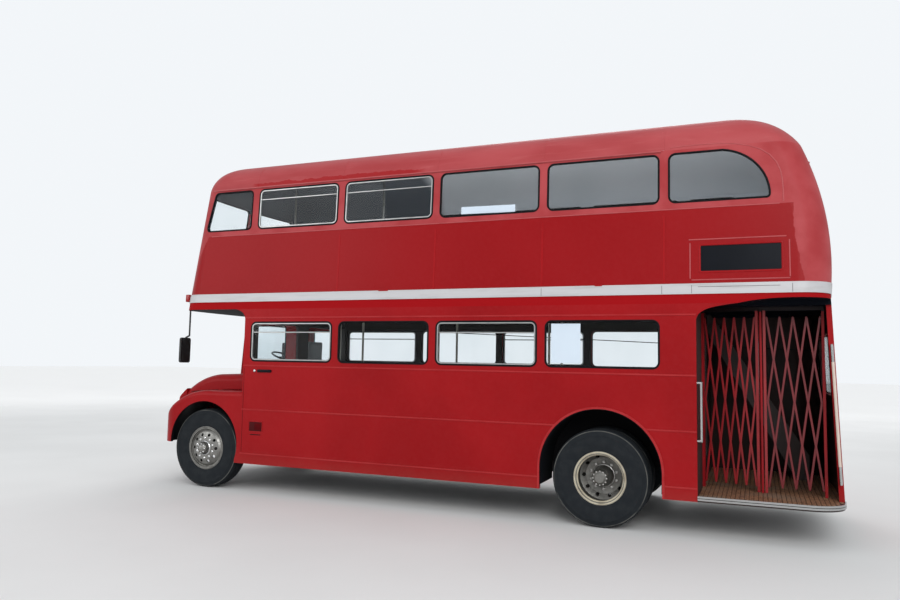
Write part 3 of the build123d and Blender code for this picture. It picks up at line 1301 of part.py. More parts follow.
def chassis_rail(side):
    """Channel with its web outboard, an upper flange that runs on over the axle, and the spring bracket."""
    rail_y = sorted([side * CHASSIS_INNER_Y, side * CHASSIS_OUTER_Y])
    hollow_y = sorted([side * (CHASSIS_INNER_Y - 1), side * (CHASSIS_OUTER_Y - CHASSIS_PLATE)])
    bracket_y = sorted([side * (CHASSIS_OUTER_Y - 1), side * (FRONT_SPRING_Y + 70)])
    with BuildPart() as rail:
        add(block(CHASSIS_REAR_X, BONNET_FRONT_X, *rail_y, *CHASSIS_Z))
        add(
            block(
                CHASSIS_REAR_X - 1,
                BONNET_FRONT_X + 1,
                *hollow_y,
                CHASSIS_Z[0] + CHASSIS_PLATE,
                CHASSIS_Z[1] - CHASSIS_PLATE,
            ),
            mode=Mode.SUBTRACT,
        )
        add(block(BEARERS[0] - BEARER_HALF, CHASSIS_REAR_X + CHASSIS_WIDTH, *rail_y, *REAR_FLANGE_Z))
        add(
            block(
                FRONT_AXLE_X - SPRING_BRACKET_HALF,
                FRONT_AXLE_X + SPRING_BRACKET_HALF,
                *bracket_y,
                SPRING_BRACKET_Z,
                CHASSIS_Z[1],
            )
        )
    return rail.part


with BuildPart() as bearers:
    for bearer_x in BEARERS:
        bearer = (bearer_x - BEARER_HALF, bearer_x + BEARER_HALF)
        add(block(*bearer, -CHASSIS_INNER_Y + FIT, CHASSIS_INNER_Y - FIT, *BEARER_Z))
        for side in (1, -1):
            outrigger_y = sorted([side * (CHASSIS_OUTER_Y + FIT), side * INNER_HALF])
            add(block(*bearer, *outrigger_y, *BEARER_Z))
save(bearers, "cross_members")

with BuildPart() as front_member:
    add(block(*FRONT_MEMBER_X, -CHASSIS_INNER_Y + FIT, CHASSIS_INNER_Y - FIT, *CHASSIS_Z))
    with BuildSketch(Plane.XZ.offset(-TOW_LUG_HALF)):
        with Locations(TOW_EYE):
            Circle(TOW_LUG_RADIUS)
        with Locations((BONNET_FRONT_X - 1, TOW_EYE[1])):
            Rectangle(TOW_EYE[0] - BONNET_FRONT_X + 1, 2 * TOW_LUG_RADIUS, align=(Align.MIN, Align.CENTER))
        with Locations(TOW_EYE):
            Circle(TOW_EYE_BORE, mode=Mode.SUBTRACT)
    extrude(amount=2 * TOW_LUG_HALF)
with BuildPart() as underframe:
    add(chassis_rail(1))
    add(chassis_rail(-1))
    add(front_member.part)
save(underframe, "underframe")

# Engine, gearbox and shafts, fuel tank
ENGINE_HALF = CHASSIS_INNER_Y - FIT
ENGINE_X = (2760.0, 3800.0)
ENGINE_Z = (440.0, 1110.0)
GEARBOX_X = (700.0, 1350.0)
GEARBOX_HALF = 190.0
GEARBOX_Z = (390.0, BEARER_Z[0] - FIT)
SHAFT_Z = 485.0
SHAFT_RADIUS = 32.0
TANK_X = (1060.0, 1940.0)
TANK_Y = (-1140.0, -690.0)
TANK_Z = (400.0, FLOOR_LOW_Z - FIT)
with BuildPart() as engine:
    add(block(*ENGINE_X, -ENGINE_HALF, ENGINE_HALF, *ENGINE_Z))
save(engine, "engine_block")

with BuildPart() as driveline:
    add(block(*GEARBOX_X, -GEARBOX_HALF, GEARBOX_HALF, *GEARBOX_Z))
    for rear, front in (
        (REAR_AXLE_X + DIFFERENTIAL_RADIUS + FIT, GEARBOX_X[0] + 10),
        (GEARBOX_X[1] - 10, ENGINE_X[0] - FIT),
    ):
        with BuildSketch(Plane.YZ.offset(rear)):
            with Locations((0, SHAFT_Z)):
                Circle(SHAFT_RADIUS)
        extrude(amount=front - rear)
with BuildPart() as tank:
    add(block(*TANK_X, *TANK_Y, *TANK_Z))
    fillet(tank.edges().filter_by(Axis.X), 40)
with BuildPart() as underfloor_units:
    add(driveline.part)
    add(tank.part)
save(underfloor_units, "gearbox_shafts_and_tank")

# Driver's place: cushion and back here, their pedestal with the frames of the other seats
DRIVER_Y = -620.0
DRIVER_BACK_X = (2740.0, 2810.0)
DRIVER_CUSHION_X = (DRIVER_BACK_X[1] + FIT, 3230.0)
DRIVER_CUSHION_Z = (1420.0, 1510.0)
DRIVER_BACK_Z = (1440.0, 1960.0)
PEDESTAL_X = (2900.0, 3120.0)
with BuildPart() as driver_seat:
    add(block(*DRIVER_CUSHION_X, DRIVER_Y - 220, DRIVER_Y + 220, *DRIVER_CUSHION_Z))
    fillet(driver_seat.edges().filter_by(Axis.Z), 40)
    add(block(*DRIVER_BACK_X, DRIVER_Y - 200, DRIVER_Y + 200, *DRIVER_BACK_Z))
save(driver_seat, "driver_seat")

with BuildPart() as frames:
    for place in SEAT_PLACES:
        add(end_frames(*place))
    add(block(*PEDESTAL_X, DRIVER_Y - 120, DRIVER_Y + 120, CAB_FLOOR_Z + FIT, DRIVER_CUSHION_Z[0] - FIT))
save(frames, "seat_frames")

STEERING_WHEEL_RADIUS = 220.0
STEERING_RIM = 13.0
STEERING_TOP = (3290.0, DRIVER_Y, 1700.0)
COLUMN_RADIUS = 22.0
WHEEL_TILT = 20.0
SPOKES = 3
with BuildPart() as steering_wheel:
    with BuildSketch(Plane.XZ):
        with Locations((STEERING_WHEEL_RADIUS, 0)):
            Circle(STEERING_RIM)
    revolve(axis=Axis.Z)
    with BuildSketch(Plane.XY.offset(-8)):
        with PolarLocations(STEERING_WHEEL_RADIUS / 2, SPOKES):
            Rectangle(STEERING_WHEEL_RADIUS - 4, 22)
    extrude(amount=14)
    Cylinder(34, 60, align=(Align.CENTER, Align.CENTER, Align.MAX))
tilt = radians(WHEEL_TILT)
column_top = Plane(STEERING_TOP, x_dir=(0, 1, 0), z_dir=(-sin(tilt), 0, cos(tilt)))
column_length = (STEERING_TOP[2] - CAB_FLOOR_Z - FIT) / cos(tilt)
with BuildPart() as steering:
    add(steering_wheel.part.moved(column_top.location))
    with BuildSketch(column_top):
        Circle(COLUMN_RADIUS)
    extrude(amount=-column_length - 40)
    add(block(0, FAR, -FAR, FAR, CAB_FLOOR_Z + FIT, FAR), mode=Mode.INTERSECT)
save(steering, "steering_wheel")

# Mirrors on arms below the front corners of the upper deck
MIRROR_ARM = (3630.0, 1120.0)
MIRROR_ARM_RADIUS = 11.0
MIRROR_X = (3655.0, 3685.0)
MIRROR_Y = (1060.0, 1240.0)
MIRROR_Z = (1600.0, 1932.0)
MIRROR_CORNER = 30.0
with BuildPart() as mirrors:
    for side in (1, -1):
        arm_x, arm_y = MIRROR_ARM[0], side * MIRROR_ARM[1]
        with BuildLine():
            Polyline(
                (arm_x, arm_y, DECK_Z - FIT),
                (arm_x, arm_y, MIRROR_Z[1] + 28),
                ((MIRROR_X[0] + MIRROR_X[1]) / 2, side * (MIRROR_Y[0] + MIRROR_Y[1]) / 2, MIRROR_Z[1] - 2),
            )
        with BuildSketch(Plane((arm_x, arm_y, DECK_Z - FIT), z_dir=(0, 0, -1))):
            Circle(MIRROR_ARM_RADIUS)
        sweep(transition=Transition.RIGHT)
        head_y = sorted([side * MIRROR_Y[0], side * MIRROR_Y[1]])
        with BuildSketch(Plane.YZ.offset(MIRROR_X[0])):
            with Locations((sum(head_y) / 2, sum(MIRROR_Z) / 2)):
                RectangleRounded(head_y[1] - head_y[0], MIRROR_Z[1] - MIRROR_Z[0], MIRROR_CORNER)
        extrude(amount=MIRROR_X[1] - MIRROR_X[0])
save(mirrors, "mirrors")

# Platform gates: fixed jambs, middle post and top tracks, two sliding posts and the lattices between them
POST = 26.0
TRACK_Z = 2262.0
TRACK_HEIGHT = DECK_Z - FIT - TRACK_Z
GATE_LOW_Z = PLATFORM_Z + GAP
FRONT_JAMB = (PLATFORM_FRONT_X - 0.62 * POST - FIT, 482.0)
MIDDLE_POST = (-3430.0, 630.0)
REAR_JAMB = (-4010.0, 640.0)
POST_SPACING = POST + GAP + 4         # centre of a sliding post from the middle post


def along(start, end, distance):
    """Point at a distance from start towards end, in plan."""
    length = hypot(end[0] - start[0], end[1] - start[1])
    share = distance / length
    return (start[0] + (end[0] - start[0]) * share, start[1] + (end[1] - start[1]) * share)


def heading(start, end):
    return degrees(atan2(end[1] - start[1], end[0] - start[0]))


SLIDING_FRONT = along(MIDDLE_POST, FRONT_JAMB, POST_SPACING)
SLIDING_REAR = along(MIDDLE_POST, REAR_JAMB, POST_SPACING)
with BuildPart() as gate_frame:
    with BuildSketch(Plane.XY.offset(PLATFORM_Z + FIT)):
        for post in (FRONT_JAMB, REAR_JAMB):
            with Locations(Location((*post, 0), (0, 0, heading(MIDDLE_POST, post)))):
                Rectangle(POST, POST)
        with Locations(MIDDLE_POST):
            Circle(POST / 2)
    extrude(amount=DECK_Z - 2 * FIT - PLATFORM_Z)
    for start, end in ((FRONT_JAMB, MIDDLE_POST), (MIDDLE_POST, REAR_JAMB)):
        middle = ((start[0] + end[0]) / 2, (start[1] + end[1]) / 2)
        with BuildSketch(Plane.XY.offset(TRACK_Z)):
            with Locations(Location((*middle, 0), (0, 0, heading(start, end)))):
                Rectangle(hypot(end[0] - start[0], end[1] - start[1]), POST)
        extrude(amount=TRACK_HEIGHT)
save(gate_frame, "gate_frame")

for name, post, jamb in (
    ("gate_post_front", SLIDING_FRONT, FRONT_JAMB),
    ("gate_post_rear", SLIDING_REAR, REAR_JAMB),
):
    with BuildPart() as sliding:
        with BuildSketch(Plane.XY.offset(GATE_LOW_Z)):
            with Locations(Location((*post, 0), (0, 0, heading(post, jamb)))):
                Rectangle(POST, POST)
        extrude(amount=TRACK_Z - 0.5 - GATE_LOW_Z)
    save(sliding, name)

STRIP = 20.0
STRIP_THICKNESS = 4.0
LATTICE_LOW_Z = 470.0
LATTICE_HIGH_Z = 2190.0
LATTICES = [
    ("gate_lattice_front", FRONT_JAMB, SLIDING_FRONT, 5),
    ("gate_lattice_rear", REAR_JAMB, SLIDING_REAR, 4),
]
for name, jamb, post, columns in LATTICES:
    clear = POST / 2 + FIT
    width = hypot(post[0] - jamb[0], post[1] - jamb[1]) - 2 * clear - STRIP
    pitch = width / columns
    height = LATTICE_HIGH_Z - LATTICE_LOW_Z
    start = along(jamb, post, clear + STRIP / 2)
    strips = []                     # foot column, foot height, head column, head height
    for column in range(columns - 1):
        strips.append((column, 0.0, column + 2, 1.0))
    strips += [(0, 0.5, 1, 1.0), (columns - 1, 0.0, columns, 0.5)]
    with BuildPart() as lattice:
        for layer, flip in ((0, False), (1, True)):
            turn = radians(heading(jamb, post))
            plane = Plane((*start, 0), x_dir=(cos(turn), sin(turn), 0), z_dir=(sin(turn), -cos(turn), 0))
            with BuildSketch(plane.offset((layer - 1) * STRIP_THICKNESS)):
                for foot, low, head, high in strips:
                    x_foot = (columns - foot if flip else foot) * pitch
                    x_head = (columns - head if flip else head) * pitch
                    z_foot = LATTICE_LOW_Z + low * height
                    z_head = LATTICE_LOW_Z + high * height
                    tilt = degrees(atan2(z_head - z_foot, x_head - x_foot))
                    with Locations(Location(((x_foot + x_head) / 2, (z_foot + z_head) / 2, 0), (0, 0, tilt))):
                        SlotCenterToCenter(hypot(x_head - x_foot, z_head - z_foot), STRIP)
            extrude(amount=STRIP_THICKNESS)
    save(lattice, name)

# Grab rails on the platform's front and rear edges, bent back to the walls
GRAB_RAIL_RADIUS = 14.0
GRAB_RAIL_REACH = 40.0
GRAB_RAIL_Y = BODY_HALF - 30.0
REAR_GRAB_RAIL_INSET = 62.0
FRONT_GRAB_RAIL_Z = (940.0, 1510.0)
REAR_GRAB_RAIL_Z = (580.0, 1900.0)
front_rail_ends = [(PLATFORM_FRONT_X - FIT, GRAB_RAIL_Y, z) for z in FRONT_GRAB_RAIL_Z]
front_rail_bends = [(x - GRAB_RAIL_REACH, y, z) for x, y, z in front_rail_ends]
rear_rail_ends = [
    (rear_x(z) + REAR_GRAB_RAIL_INSET, REAR_PANEL_EDGE_Y + FIT, z)
    for z in REAR_GRAB_RAIL_Z
]
rear_rail_bends = [(x, y + GRAB_RAIL_REACH, z) for x, y, z in rear_rail_ends]
with BuildPart() as grab_rails:
    add(platform_trim.part)
    for ends, bends in ((front_rail_ends, front_rail_bends), (rear_rail_ends, rear_rail_bends)):
        with BuildLine():
            rail_line = Polyline(ends[0], bends[0], bends[1], ends[1])
        with BuildSketch(Plane(origin=ends[0], z_dir=rail_line % 0)):
            Circle(GRAB_RAIL_RADIUS)
        sweep(path=rail_line, transition=Transition.RIGHT)
save(grab_rails, "platform_brightwork")
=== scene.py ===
import math

import bmesh
import bpy
from mathutils import Matrix, Vector
from mathutils.bvhtree import BVHTree


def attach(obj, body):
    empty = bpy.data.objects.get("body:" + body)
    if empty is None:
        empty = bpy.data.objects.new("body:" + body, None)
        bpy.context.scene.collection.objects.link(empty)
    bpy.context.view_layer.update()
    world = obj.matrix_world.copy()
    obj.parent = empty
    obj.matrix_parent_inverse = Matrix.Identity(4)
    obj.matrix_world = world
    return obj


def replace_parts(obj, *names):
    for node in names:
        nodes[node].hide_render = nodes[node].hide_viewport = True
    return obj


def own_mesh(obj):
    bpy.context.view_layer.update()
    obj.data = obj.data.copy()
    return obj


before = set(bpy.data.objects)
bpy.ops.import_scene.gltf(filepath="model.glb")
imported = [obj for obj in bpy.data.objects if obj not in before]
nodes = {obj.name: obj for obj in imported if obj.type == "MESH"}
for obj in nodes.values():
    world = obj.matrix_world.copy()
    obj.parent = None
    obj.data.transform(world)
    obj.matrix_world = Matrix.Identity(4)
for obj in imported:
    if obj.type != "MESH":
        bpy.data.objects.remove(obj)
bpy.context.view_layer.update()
scene = bpy.context.scene
HANDS = ((1, "nearside"), (-1, "offside"))

# ---------------------------------------------------------------- camera and light

PHOTO_WIDTH = 900.0
FOCAL_PIXELS = 738.9
SENSOR = 36.0
CAMERA_PLACE = Vector((-3.394, 8.938, 1.673))
CAMERA_YAW = math.radians(-22.58)
CAMERA_PITCH = math.radians(4.79)
CAMERA_ROLL = math.radians(1.05)

SKY_TINT = (0.94, 0.97, 1.0, 1.0)
SKY_LIGHT = 0.74
SKY_SHOWN = 0.95

# name, place, target, size and power of each round studio lamp
STUDIO_LAMPS = [
    ("key_lamp", (-9.0, 17.0, 10.5), (0.0, 0.0, 1.8), 12.0, 1750.0),
    ("fill_lamp", (12.0, 12.0, 7.0), (1.0, 0.0, 1.5), 10.0, 450.0),
    ("back_lamp", (2.0, -16.0, 12.0), (0.0, 0.0, 2.0), 12.0, 1000.0),
]
SALOON_LAMP_PLACE = (-0.3, 0.0, 2.95)
SALOON_LAMP_SIZE = (6.0, 0.5)
SALOON_LAMP_POWER = 14.0


def link_new(name, data):
    """New object that holds this data, linked to the scene."""
    made = bpy.data.objects.new(name, data)
    scene.collection.objects.link(made)
    return made


def add_camera():
    """Camera at the photograph's place, aimed across the nearside towards the front."""
    ahead = Vector((
        -math.sin(CAMERA_YAW) * math.cos(CAMERA_PITCH),
        -math.cos(CAMERA_YAW) * math.cos(CAMERA_PITCH),
        math.sin(CAMERA_PITCH),
    ))
    level_right = ahead.cross(Vector((0, 0, 1))).normalized()
    level_up = level_right.cross(ahead)
    right = level_right * math.cos(CAMERA_ROLL) + level_up * math.sin(CAMERA_ROLL)
    up = level_up * math.cos(CAMERA_ROLL) - level_right * math.sin(CAMERA_ROLL)
    data = bpy.data.cameras.new("photo_camera")
    data.sensor_width = SENSOR
    data.lens = FOCAL_PIXELS * SENSOR / PHOTO_WIDTH
    data.clip_end = 300.0
    camera = link_new("photo_camera", data)
    turn = Matrix((right, up, -ahead)).transposed()
    camera.matrix_world = Matrix.Translation(CAMERA_PLACE) @ turn.to_4x4()
    scene.camera = camera


def add_lamp(name, place, target, size, power, size_y=None):
    """Area lamp aimed at a target: round, or a rectangle where size_y is given."""
    data = bpy.data.lights.new(name, "AREA")
    data.shape = "RECTANGLE" if size_y else "DISK"
    data.size = size
    if size_y:
        data.size_y = size_y
    data.energy = power
    lamp = link_new(name, data)
    lamp.location = place
    lamp.rotation_euler = (Vector(target) - Vector(place)).to_track_quat("-Z", "Y").to_euler()
    return lamp


def add_saloon_lamp():
    """Weak light on the upper saloon's ceiling, where the studio's lamps hardly reach; only what it lights shows."""
    length, width = SALOON_LAMP_SIZE
    lamp = add_lamp("saloon_lamp", SALOON_LAMP_PLACE, (0, 0, 0), length, SALOON_LAMP_POWER, width)
    lamp.rotation_euler = (math.pi, 0.0, 0.0)          # straight up
    lamp.visible_camera = lamp.visible_glossy = lamp.visible_transmission = False


def add_world():
    """Even light from all round, and a paler backdrop for what the camera and glass see."""
    world = bpy.data.worlds.new("studio")
    scene.world = world
    world.use_nodes = True
    tree = world.node_tree
    background = tree.nodes["Background"]
    path = tree.nodes.new("ShaderNodeLightPath")
    seen = tree.nodes.new("ShaderNodeMath")
    seen.operation = "MAXIMUM"
    tree.links.new(path.outputs["Is Camera Ray"], seen.inputs[0])
    tree.links.new(path.outputs["Is Transmission Ray"], seen.inputs[1])
    level = tree.nodes.new("ShaderNodeMapRange")
    level.inputs["To Min"].default_value = SKY_LIGHT
    level.inputs["To Max"].default_value = SKY_SHOWN
    tree.links.new(seen.outputs[0], level.inputs["Value"])
    tree.links.new(level.outputs["Result"], background.inputs["Strength"])
    background.inputs["Color"].default_value = SKY_TINT


# ---------------------------------------------------------------- materials


def shade(color):
    """Linear colour of an (r, g, b) screen colour of 0 to 255; a socket or a linear colour of four shares stays."""
    if not isinstance(color, tuple) or len(color) == 4:
        return color
    shares = [value / 255.0 for value in color]
    return tuple(s / 12.92 if s <= 0.04045 else ((s + 0.055) / 1.055) ** 2.4 for s in shares) + (1.0,)


class Field:
    """A number in a material: plain arithmetic on it adds Math nodes, and a | b is the greater of two."""

    def __init__(self, look, socket):
        self.look, self.socket = look, socket

    def do(self, operation, other=0.0):
        node = self.look.add("Math", {0: self, 1: other}, operation=operation)
        return Field(self.look, node.outputs[0])

    def __add__(self, other):
        return self.do("ADD", other)

    def __sub__(self, other):
        return self.do("SUBTRACT", other)

    def __rsub__(self, other):
        return self * -1.0 + other

    def __mul__(self, other):
        return self.do("MULTIPLY", other)

    def __lt__(self, other):
        return self.do("LESS_THAN", other)

    def __gt__(self, other):
        return self.do("GREATER_THAN", other)

    def __or__(self, other):
        return self.do("MAXIMUM", other)

    def __abs__(self):
        return self.do("ABSOLUTE")


class Look:
    """A procedural material: one Principled shader and short calls for the nodes that feed it."""

    def __init__(self, name, color, roughness, metallic=0.0, **settings):
        self.material = bpy.data.materials.new(name)
        self.material.use_nodes = True
        self.tree = self.material.node_tree
        self.shader = self.tree.nodes["Principled BSDF"]
        settings.update(Base_Color=shade(color), Roughness=roughness, Metallic=metallic)
        for socket, value in settings.items():
            self.shader.inputs[socket.replace("_", " ")].default_value = value
        self.place = self.add("TexCoord", {}).outputs["Object"]
        self.x, self.y, self.z = self.parts(self.place)

    def feed(self, socket, value):
        if isinstance(value, Field):
            value = value.socket
        if isinstance(value, bpy.types.NodeSocket):
            self.tree.links.new(value, socket)
        else:
            socket.default_value = value

    def add(self, kind, inputs, **settings):
        """New node with these settings and inputs."""
        node = self.tree.nodes.new("ShaderNode" + kind)
        for name, value in settings.items():
            setattr(node, name, value)
        for socket, value in inputs.items():
            self.feed(node.inputs[socket], value)
        return node

    def parts(self, vector):
        """The three coordinates of a vector; those of a place are metres of the shared frame."""
        return [Field(self, output) for output in self.add("SeparateXYZ", {0: vector}).outputs]

    def normal(self):
        return self.parts(self.add("NewGeometry", {}).outputs["Normal"])

    def noise(self, scale, detail=3.0, stretch=(1.0, 1.0, 1.0)):
        mapping = self.add("Mapping", {"Vector": self.place, "Scale": stretch})
        node = self.add("TexNoise", {"Vector": mapping.outputs[0], "Scale": scale, "Detail": detail})
        return Field(self, node.outputs["Fac"])

    def ramp(self, value, low, high, to_low=0.0, to_high=1.0):
        """Smooth step of a value between two levels."""
        inputs = {"Value": value, "From Min": low, "From Max": high, "To Min": to_low, "To Max": to_high}
        return Field(self, self.add("MapRange", inputs, interpolation_type="SMOOTHSTEP").outputs["Result"])

    def patches(self, scale, detail=3.0, low=0.3, high=0.7, most=1.0, stretch=(1.0, 1.0, 1.0)):
        """Soft-edged patches, 0 outside them and most inside."""
        return self.ramp(self.noise(scale, detail, stretch), low, high, 0.0, most)

    def mix(self, share, first, second):
        return self.add("Mix", {0: share, 6: shade(first), 7: shade(second)}, data_type="RGBA").outputs[2]

    def finished(self, color, height, strength, distance=0.001):
        """The material, with this colour and a bump."""
        bump = self.add("Bump", {"Height": height, "Strength": strength, "Distance": distance})
        self.set("Normal", bump.outputs[0])
        self.set("Base Color", color)
        return self.material

    def set(self, socket, value):
        self.feed(self.shader.inputs[socket], value)

    def inward(self):
        """1 on faces that look into the saloons, 0 on those that look out."""
        normal_x, normal_y, normal_z = self.normal()
        rise = (self.z - ROOF_CENTRE_Z) | 0.0
        facing = normal_y * self.y + normal_x * (self.x * 0.2) + normal_z * rise
        return facing < -0.1


RED = (152, 18, 23)
DEEP_RED = (140, 13, 18)
# painted shade: the upper deck's red is a little darker than RED, to offset the extra light its backward-leaning panels
# catch
UPPER_SHADED_RED = (144, 16, 21)
FADED = (172, 72, 75)
FADED_DEEP = (158, 54, 57)
# painted highlight on the proud beads of the lower panels
BEAD_HIGHLIGHT = (172, 52, 54)
DUST = (118, 92, 80)
WHITE = (188, 187, 189)
GATE_RED = (148, 26, 32)
GATE_WORN = (108, 20, 26)
WELL_BLACK = (18, 19, 22)
LOWER_LINING = (46, 34, 32)
UPPER_LINING = (226, 231, 236)
FRONT_CEILING_SHADE = (98, 104, 112)      # painted shade: the front bays' ceiling is darkened, as it looks dark in the photo
BRIGHT_METAL = (0.5, 0.5, 0.49, 1.0)

ROOF_CENTRE_Z = 3.3           # the roof's curves lie above this height
PANEL_TOP_Z = 3.272           # above this line the old paint has faded
REAR_EDGE_X = -3.742          # faded paint lies behind this line at the rear ...
REAR_EDGE_FOOT_Z = 3.0        # ... which slopes away below this height
FRONT_EDGE_X = 3.33           # and ahead of this sloping line at the front, above the blind
FRONT_EDGE_FOOT_Z = (2.78, 2.80)
EDGE_BLUR = 0.004
TRIM_GROOVE_Z = 0.391
BEAD_FACE_Y = 1.2225          # beads stand out of the side panels beyond this
TRACK_FOOT_Z = 2.25           # the gates' dark track lies above this
GRILLE_CORE_X = 4.118         # the dark core lies behind this
GRILLE_FLANK = (4.160, 0.300)  # X and half width within which the slats' flanks are dark
RAIL_SLEEVE = (1.24, 0.50)    # middle height and half length of the rear rail's cream sleeve
WEAVE = 260.0                 # waves of the seat cloth's check in a metre, times two pi

AXLE_Z = 0.503
FRONT_AXLE_X = 3.258
REAR_AXLE_X = -1.873
REAR_ARCH = (REAR_AXLE_X, 0.585, 0.630)        # centre X, centre Z and radius
FRONT_ARCH = (3.239, 0.575, 0.56)   # centre X, centre Z and the radius within which it is dark
WELL_HALF = 1.15              # the front wells lie inboard of this


def upper_lining(look):
    """Pale lining upstairs, darkened over the front bays by painted shade."""
    return look.mix(look.ramp(look.x, 0.85, 1.05), UPPER_LINING, FRONT_CEILING_SHADE)


def bead_highlight_share(look):
    """How strongly the proud beads carry a painted highlight, a lighter tone whose strength varies along them."""
    return (abs(look.y) > BEAD_FACE_Y) * look.ramp(look.noise(12.0, 4.0, (0.3, 1.0, 1.0)), 0.2, 0.7, 0.35, 0.8)


def well_share(look):
    """1 on the faces inside the front wheel wells, which look towards the arch's centre or across the bus."""
    normal_x, _, normal_z = look.normal()
    along, up = look.x - FRONT_ARCH[0], look.z - FRONT_ARCH[1]
    towards = (normal_x * along + normal_z * up) < -0.2
    reach = (along * along + up * up).do("SQRT")
    return towards | ((abs(look.y) < WELL_HALF) * (reach < FRONT_ARCH[2]))


def old_paint_share(look):
    """1 where the upper panels' paint has faded: above the panels, round the rear corner and at the front edge."""
    ragged = look.noise(14.0, 5.0) * 0.05 - 0.025
    above = look.ramp(look.z + ragged * 0.25, PANEL_TOP_Z - EDGE_BLUR, PANEL_TOP_Z + EDGE_BLUR)
    rear_line = ((REAR_EDGE_FOOT_Z - look.z) | 0.0) * -0.165 + REAR_EDGE_X
    rear = look.ramp(rear_line + ragged - look.x, -EDGE_BLUR, EDGE_BLUR)
    front_line = (PANEL_TOP_Z - look.z) * 0.55 + FRONT_EDGE_X
    front = look.ramp(look.x - (front_line + ragged), -EDGE_BLUR, EDGE_BLUR)
    return above | rear | (front * look.ramp(look.z, *FRONT_EDGE_FOOT_Z))


def paint_look(name, upper=False, panels=False, wells=False):
    """Glossy coachwork paint, slightly uneven: faded above where it is the upper deck's, dusty low down elsewhere; the
    upper deck's red is a little darker as painted shade, and the lower panels' beads carry a painted highlight.
    """
    look = Look(name, RED, 0.34, Specular_IOR_Level=0.09, Coat_Weight=0.03, Coat_Roughness=0.15)
    color = look.mix(look.patches(0.9, 4.0, 0.35), UPPER_SHADED_RED if upper else RED, DEEP_RED)
    color = look.mix(look.patches(26.0, 5.0, 0.3, 0.75, 0.04), color, FADED)
    if upper:
        old = old_paint_share(look)
        color = look.mix(old, color, look.mix(look.patches(3.0, 5.0), FADED, FADED_DEEP))
        look.set("Roughness", look.ramp(old, 0.0, 1.0, 0.32, 0.5))
        color = look.mix(look.inward(), color, upper_lining(look))
    else:
        color = look.mix(look.ramp(look.z + look.noise(5.0) * 0.12, 0.36, 0.62, 0.12, 0.0), color, DUST)
    if panels:
        # painted highlight on the beads' outer faces
        color = look.mix(bead_highlight_share(look), color, BEAD_HIGHLIGHT)
        color = look.mix(look.inward(), color, LOWER_LINING)
    if wells:
        color = look.mix(well_share(look), color, WELL_BLACK)
    return look.finished(color, look.noise(180.0, 2.0), 0.06, 0.002)


def roof_look():
    """Sun-faded roof paint with a ragged strip of newer paint above the front side windows."""
    look = Look("roof_paint", FADED, 0.48, Specular_IOR_Level=0.25)
    color = look.mix(look.patches(2.2, 6.0, 0.3, 0.72, stretch=(0.5, 1.5, 1.5)), FADED, FADED_DEEP)
    color = look.mix(look.patches(9.0, 4.0, 0.55, 0.75, 0.2, (0.3, 1.0, 3.0)), color, (190, 104, 104))
    low_edge = look.noise(7.0, 6.0, (1.0, 1.0, 0.2)) * 0.10 + 3.905
    newer = (look.z < low_edge) * look.ramp(look.x, 0.15, 0.35) * look.ramp(look.x, 2.6, 2.7, 1.0, 0.0)
    color = look.mix(newer, color, RED)
    return look.finished(look.mix(look.inward(), color, upper_lining(look)), look.noise(60.0, 4.0), 0.12, 0.002)


def band_look():
    look = Look("band_paint", WHITE, 0.38)
    color = look.mix(look.patches(6.0, 6.0, 0.45, 0.8, 0.35, (0.4, 1.0, 4.0)), WHITE, (140, 136, 130))
    return look.finished(color, look.noise(90.0), 0.05)


def metal_look(name, color, roughness, stretch=(1.0, 1.0, 1.0), dirt=0.2):
    """Metal with darker stains and an uneven shine."""
    look = Look(name, color, roughness, metallic=1.0)
    smear = look.noise(40.0, 4.0, stretch)
    dark = tuple(0.45 * share for share in color[:3]) + (1.0,)
    look.set("Roughness", look.ramp(smear, 0.3, 0.7, roughness * 0.8, roughness * 1.3))
    return look.finished(look.mix(look.patches(9.0, 5.0, 0.45, 0.75, dirt), color, dark), smear, 0.04)


def plain_look(name, color, roughness, wear, scale=30.0, bump=0.08, **settings):
    """Painted or moulded surface with patches of a second colour."""
    look = Look(name, color, roughness, **settings)
    color = look.mix(look.patches(scale * 0.3, 5.0, 0.4, 0.75, 0.6), color, wear)
    return look.finished(color, look.noise(scale * 6.0), bump, 0.002)


def rubber_look(name, center_x):
    """Tyre rubber: dusty sidewall with fine moulded rings about the axle, and a scuffed ring at the shoulder."""
    look = Look(name, (30, 31, 33), 0.8, Specular_IOR_Level=0.18)
    across, up = look.x - center_x, look.z - AXLE_Z
    radius = (across * across + up * up).do("SQRT")
    rings = (radius * 420.0).do("SINE")
    dust = look.patches(11.0, 6.0, 0.35, 0.75)
    scuffed = look.ramp(radius, 0.476, 0.481) * look.ramp(radius, 0.484, 0.489, 1.0, 0.0)
    color = look.mix(dust * 0.4, (27, 31, 35), (44, 47, 49))
    color = look.mix(scuffed * look.patches(5.0, high=0.6), color, (92, 92, 88))
    return look.finished(color, rings * 0.3 + dust, 0.25, 0.002)


def glass_look():
    clear = (0.93, 0.955, 0.965, 1.0)
    look = Look("window_glass", clear, 0.02, IOR=1.18, Transmission_Weight=1.0)
    look.set("Base Color", look.mix(look.patches(1.3, 5.0, 0.35, 0.8), clear, (0.85, 0.89, 0.90, 1.0)))
    return look.material


def grille_look():
    """Aluminium surround, centre bar and slat edges over a dark core."""
    look = Look("grille_metal", BRIGHT_METAL, 0.3)
    flank = (abs(look.normal()[0]) < 0.5) * (abs(look.y) < GRILLE_FLANK[1]) * (look.x < GRILLE_FLANK[0])
    dark = (look.x < GRILLE_CORE_X) | flank
    look.set("Metallic", 1.0 - dark)
    return look.finished(look.mix(dark, BRIGHT_METAL, (0.012, 0.012, 0.014, 1.0)), look.noise(80.0), 0.05)


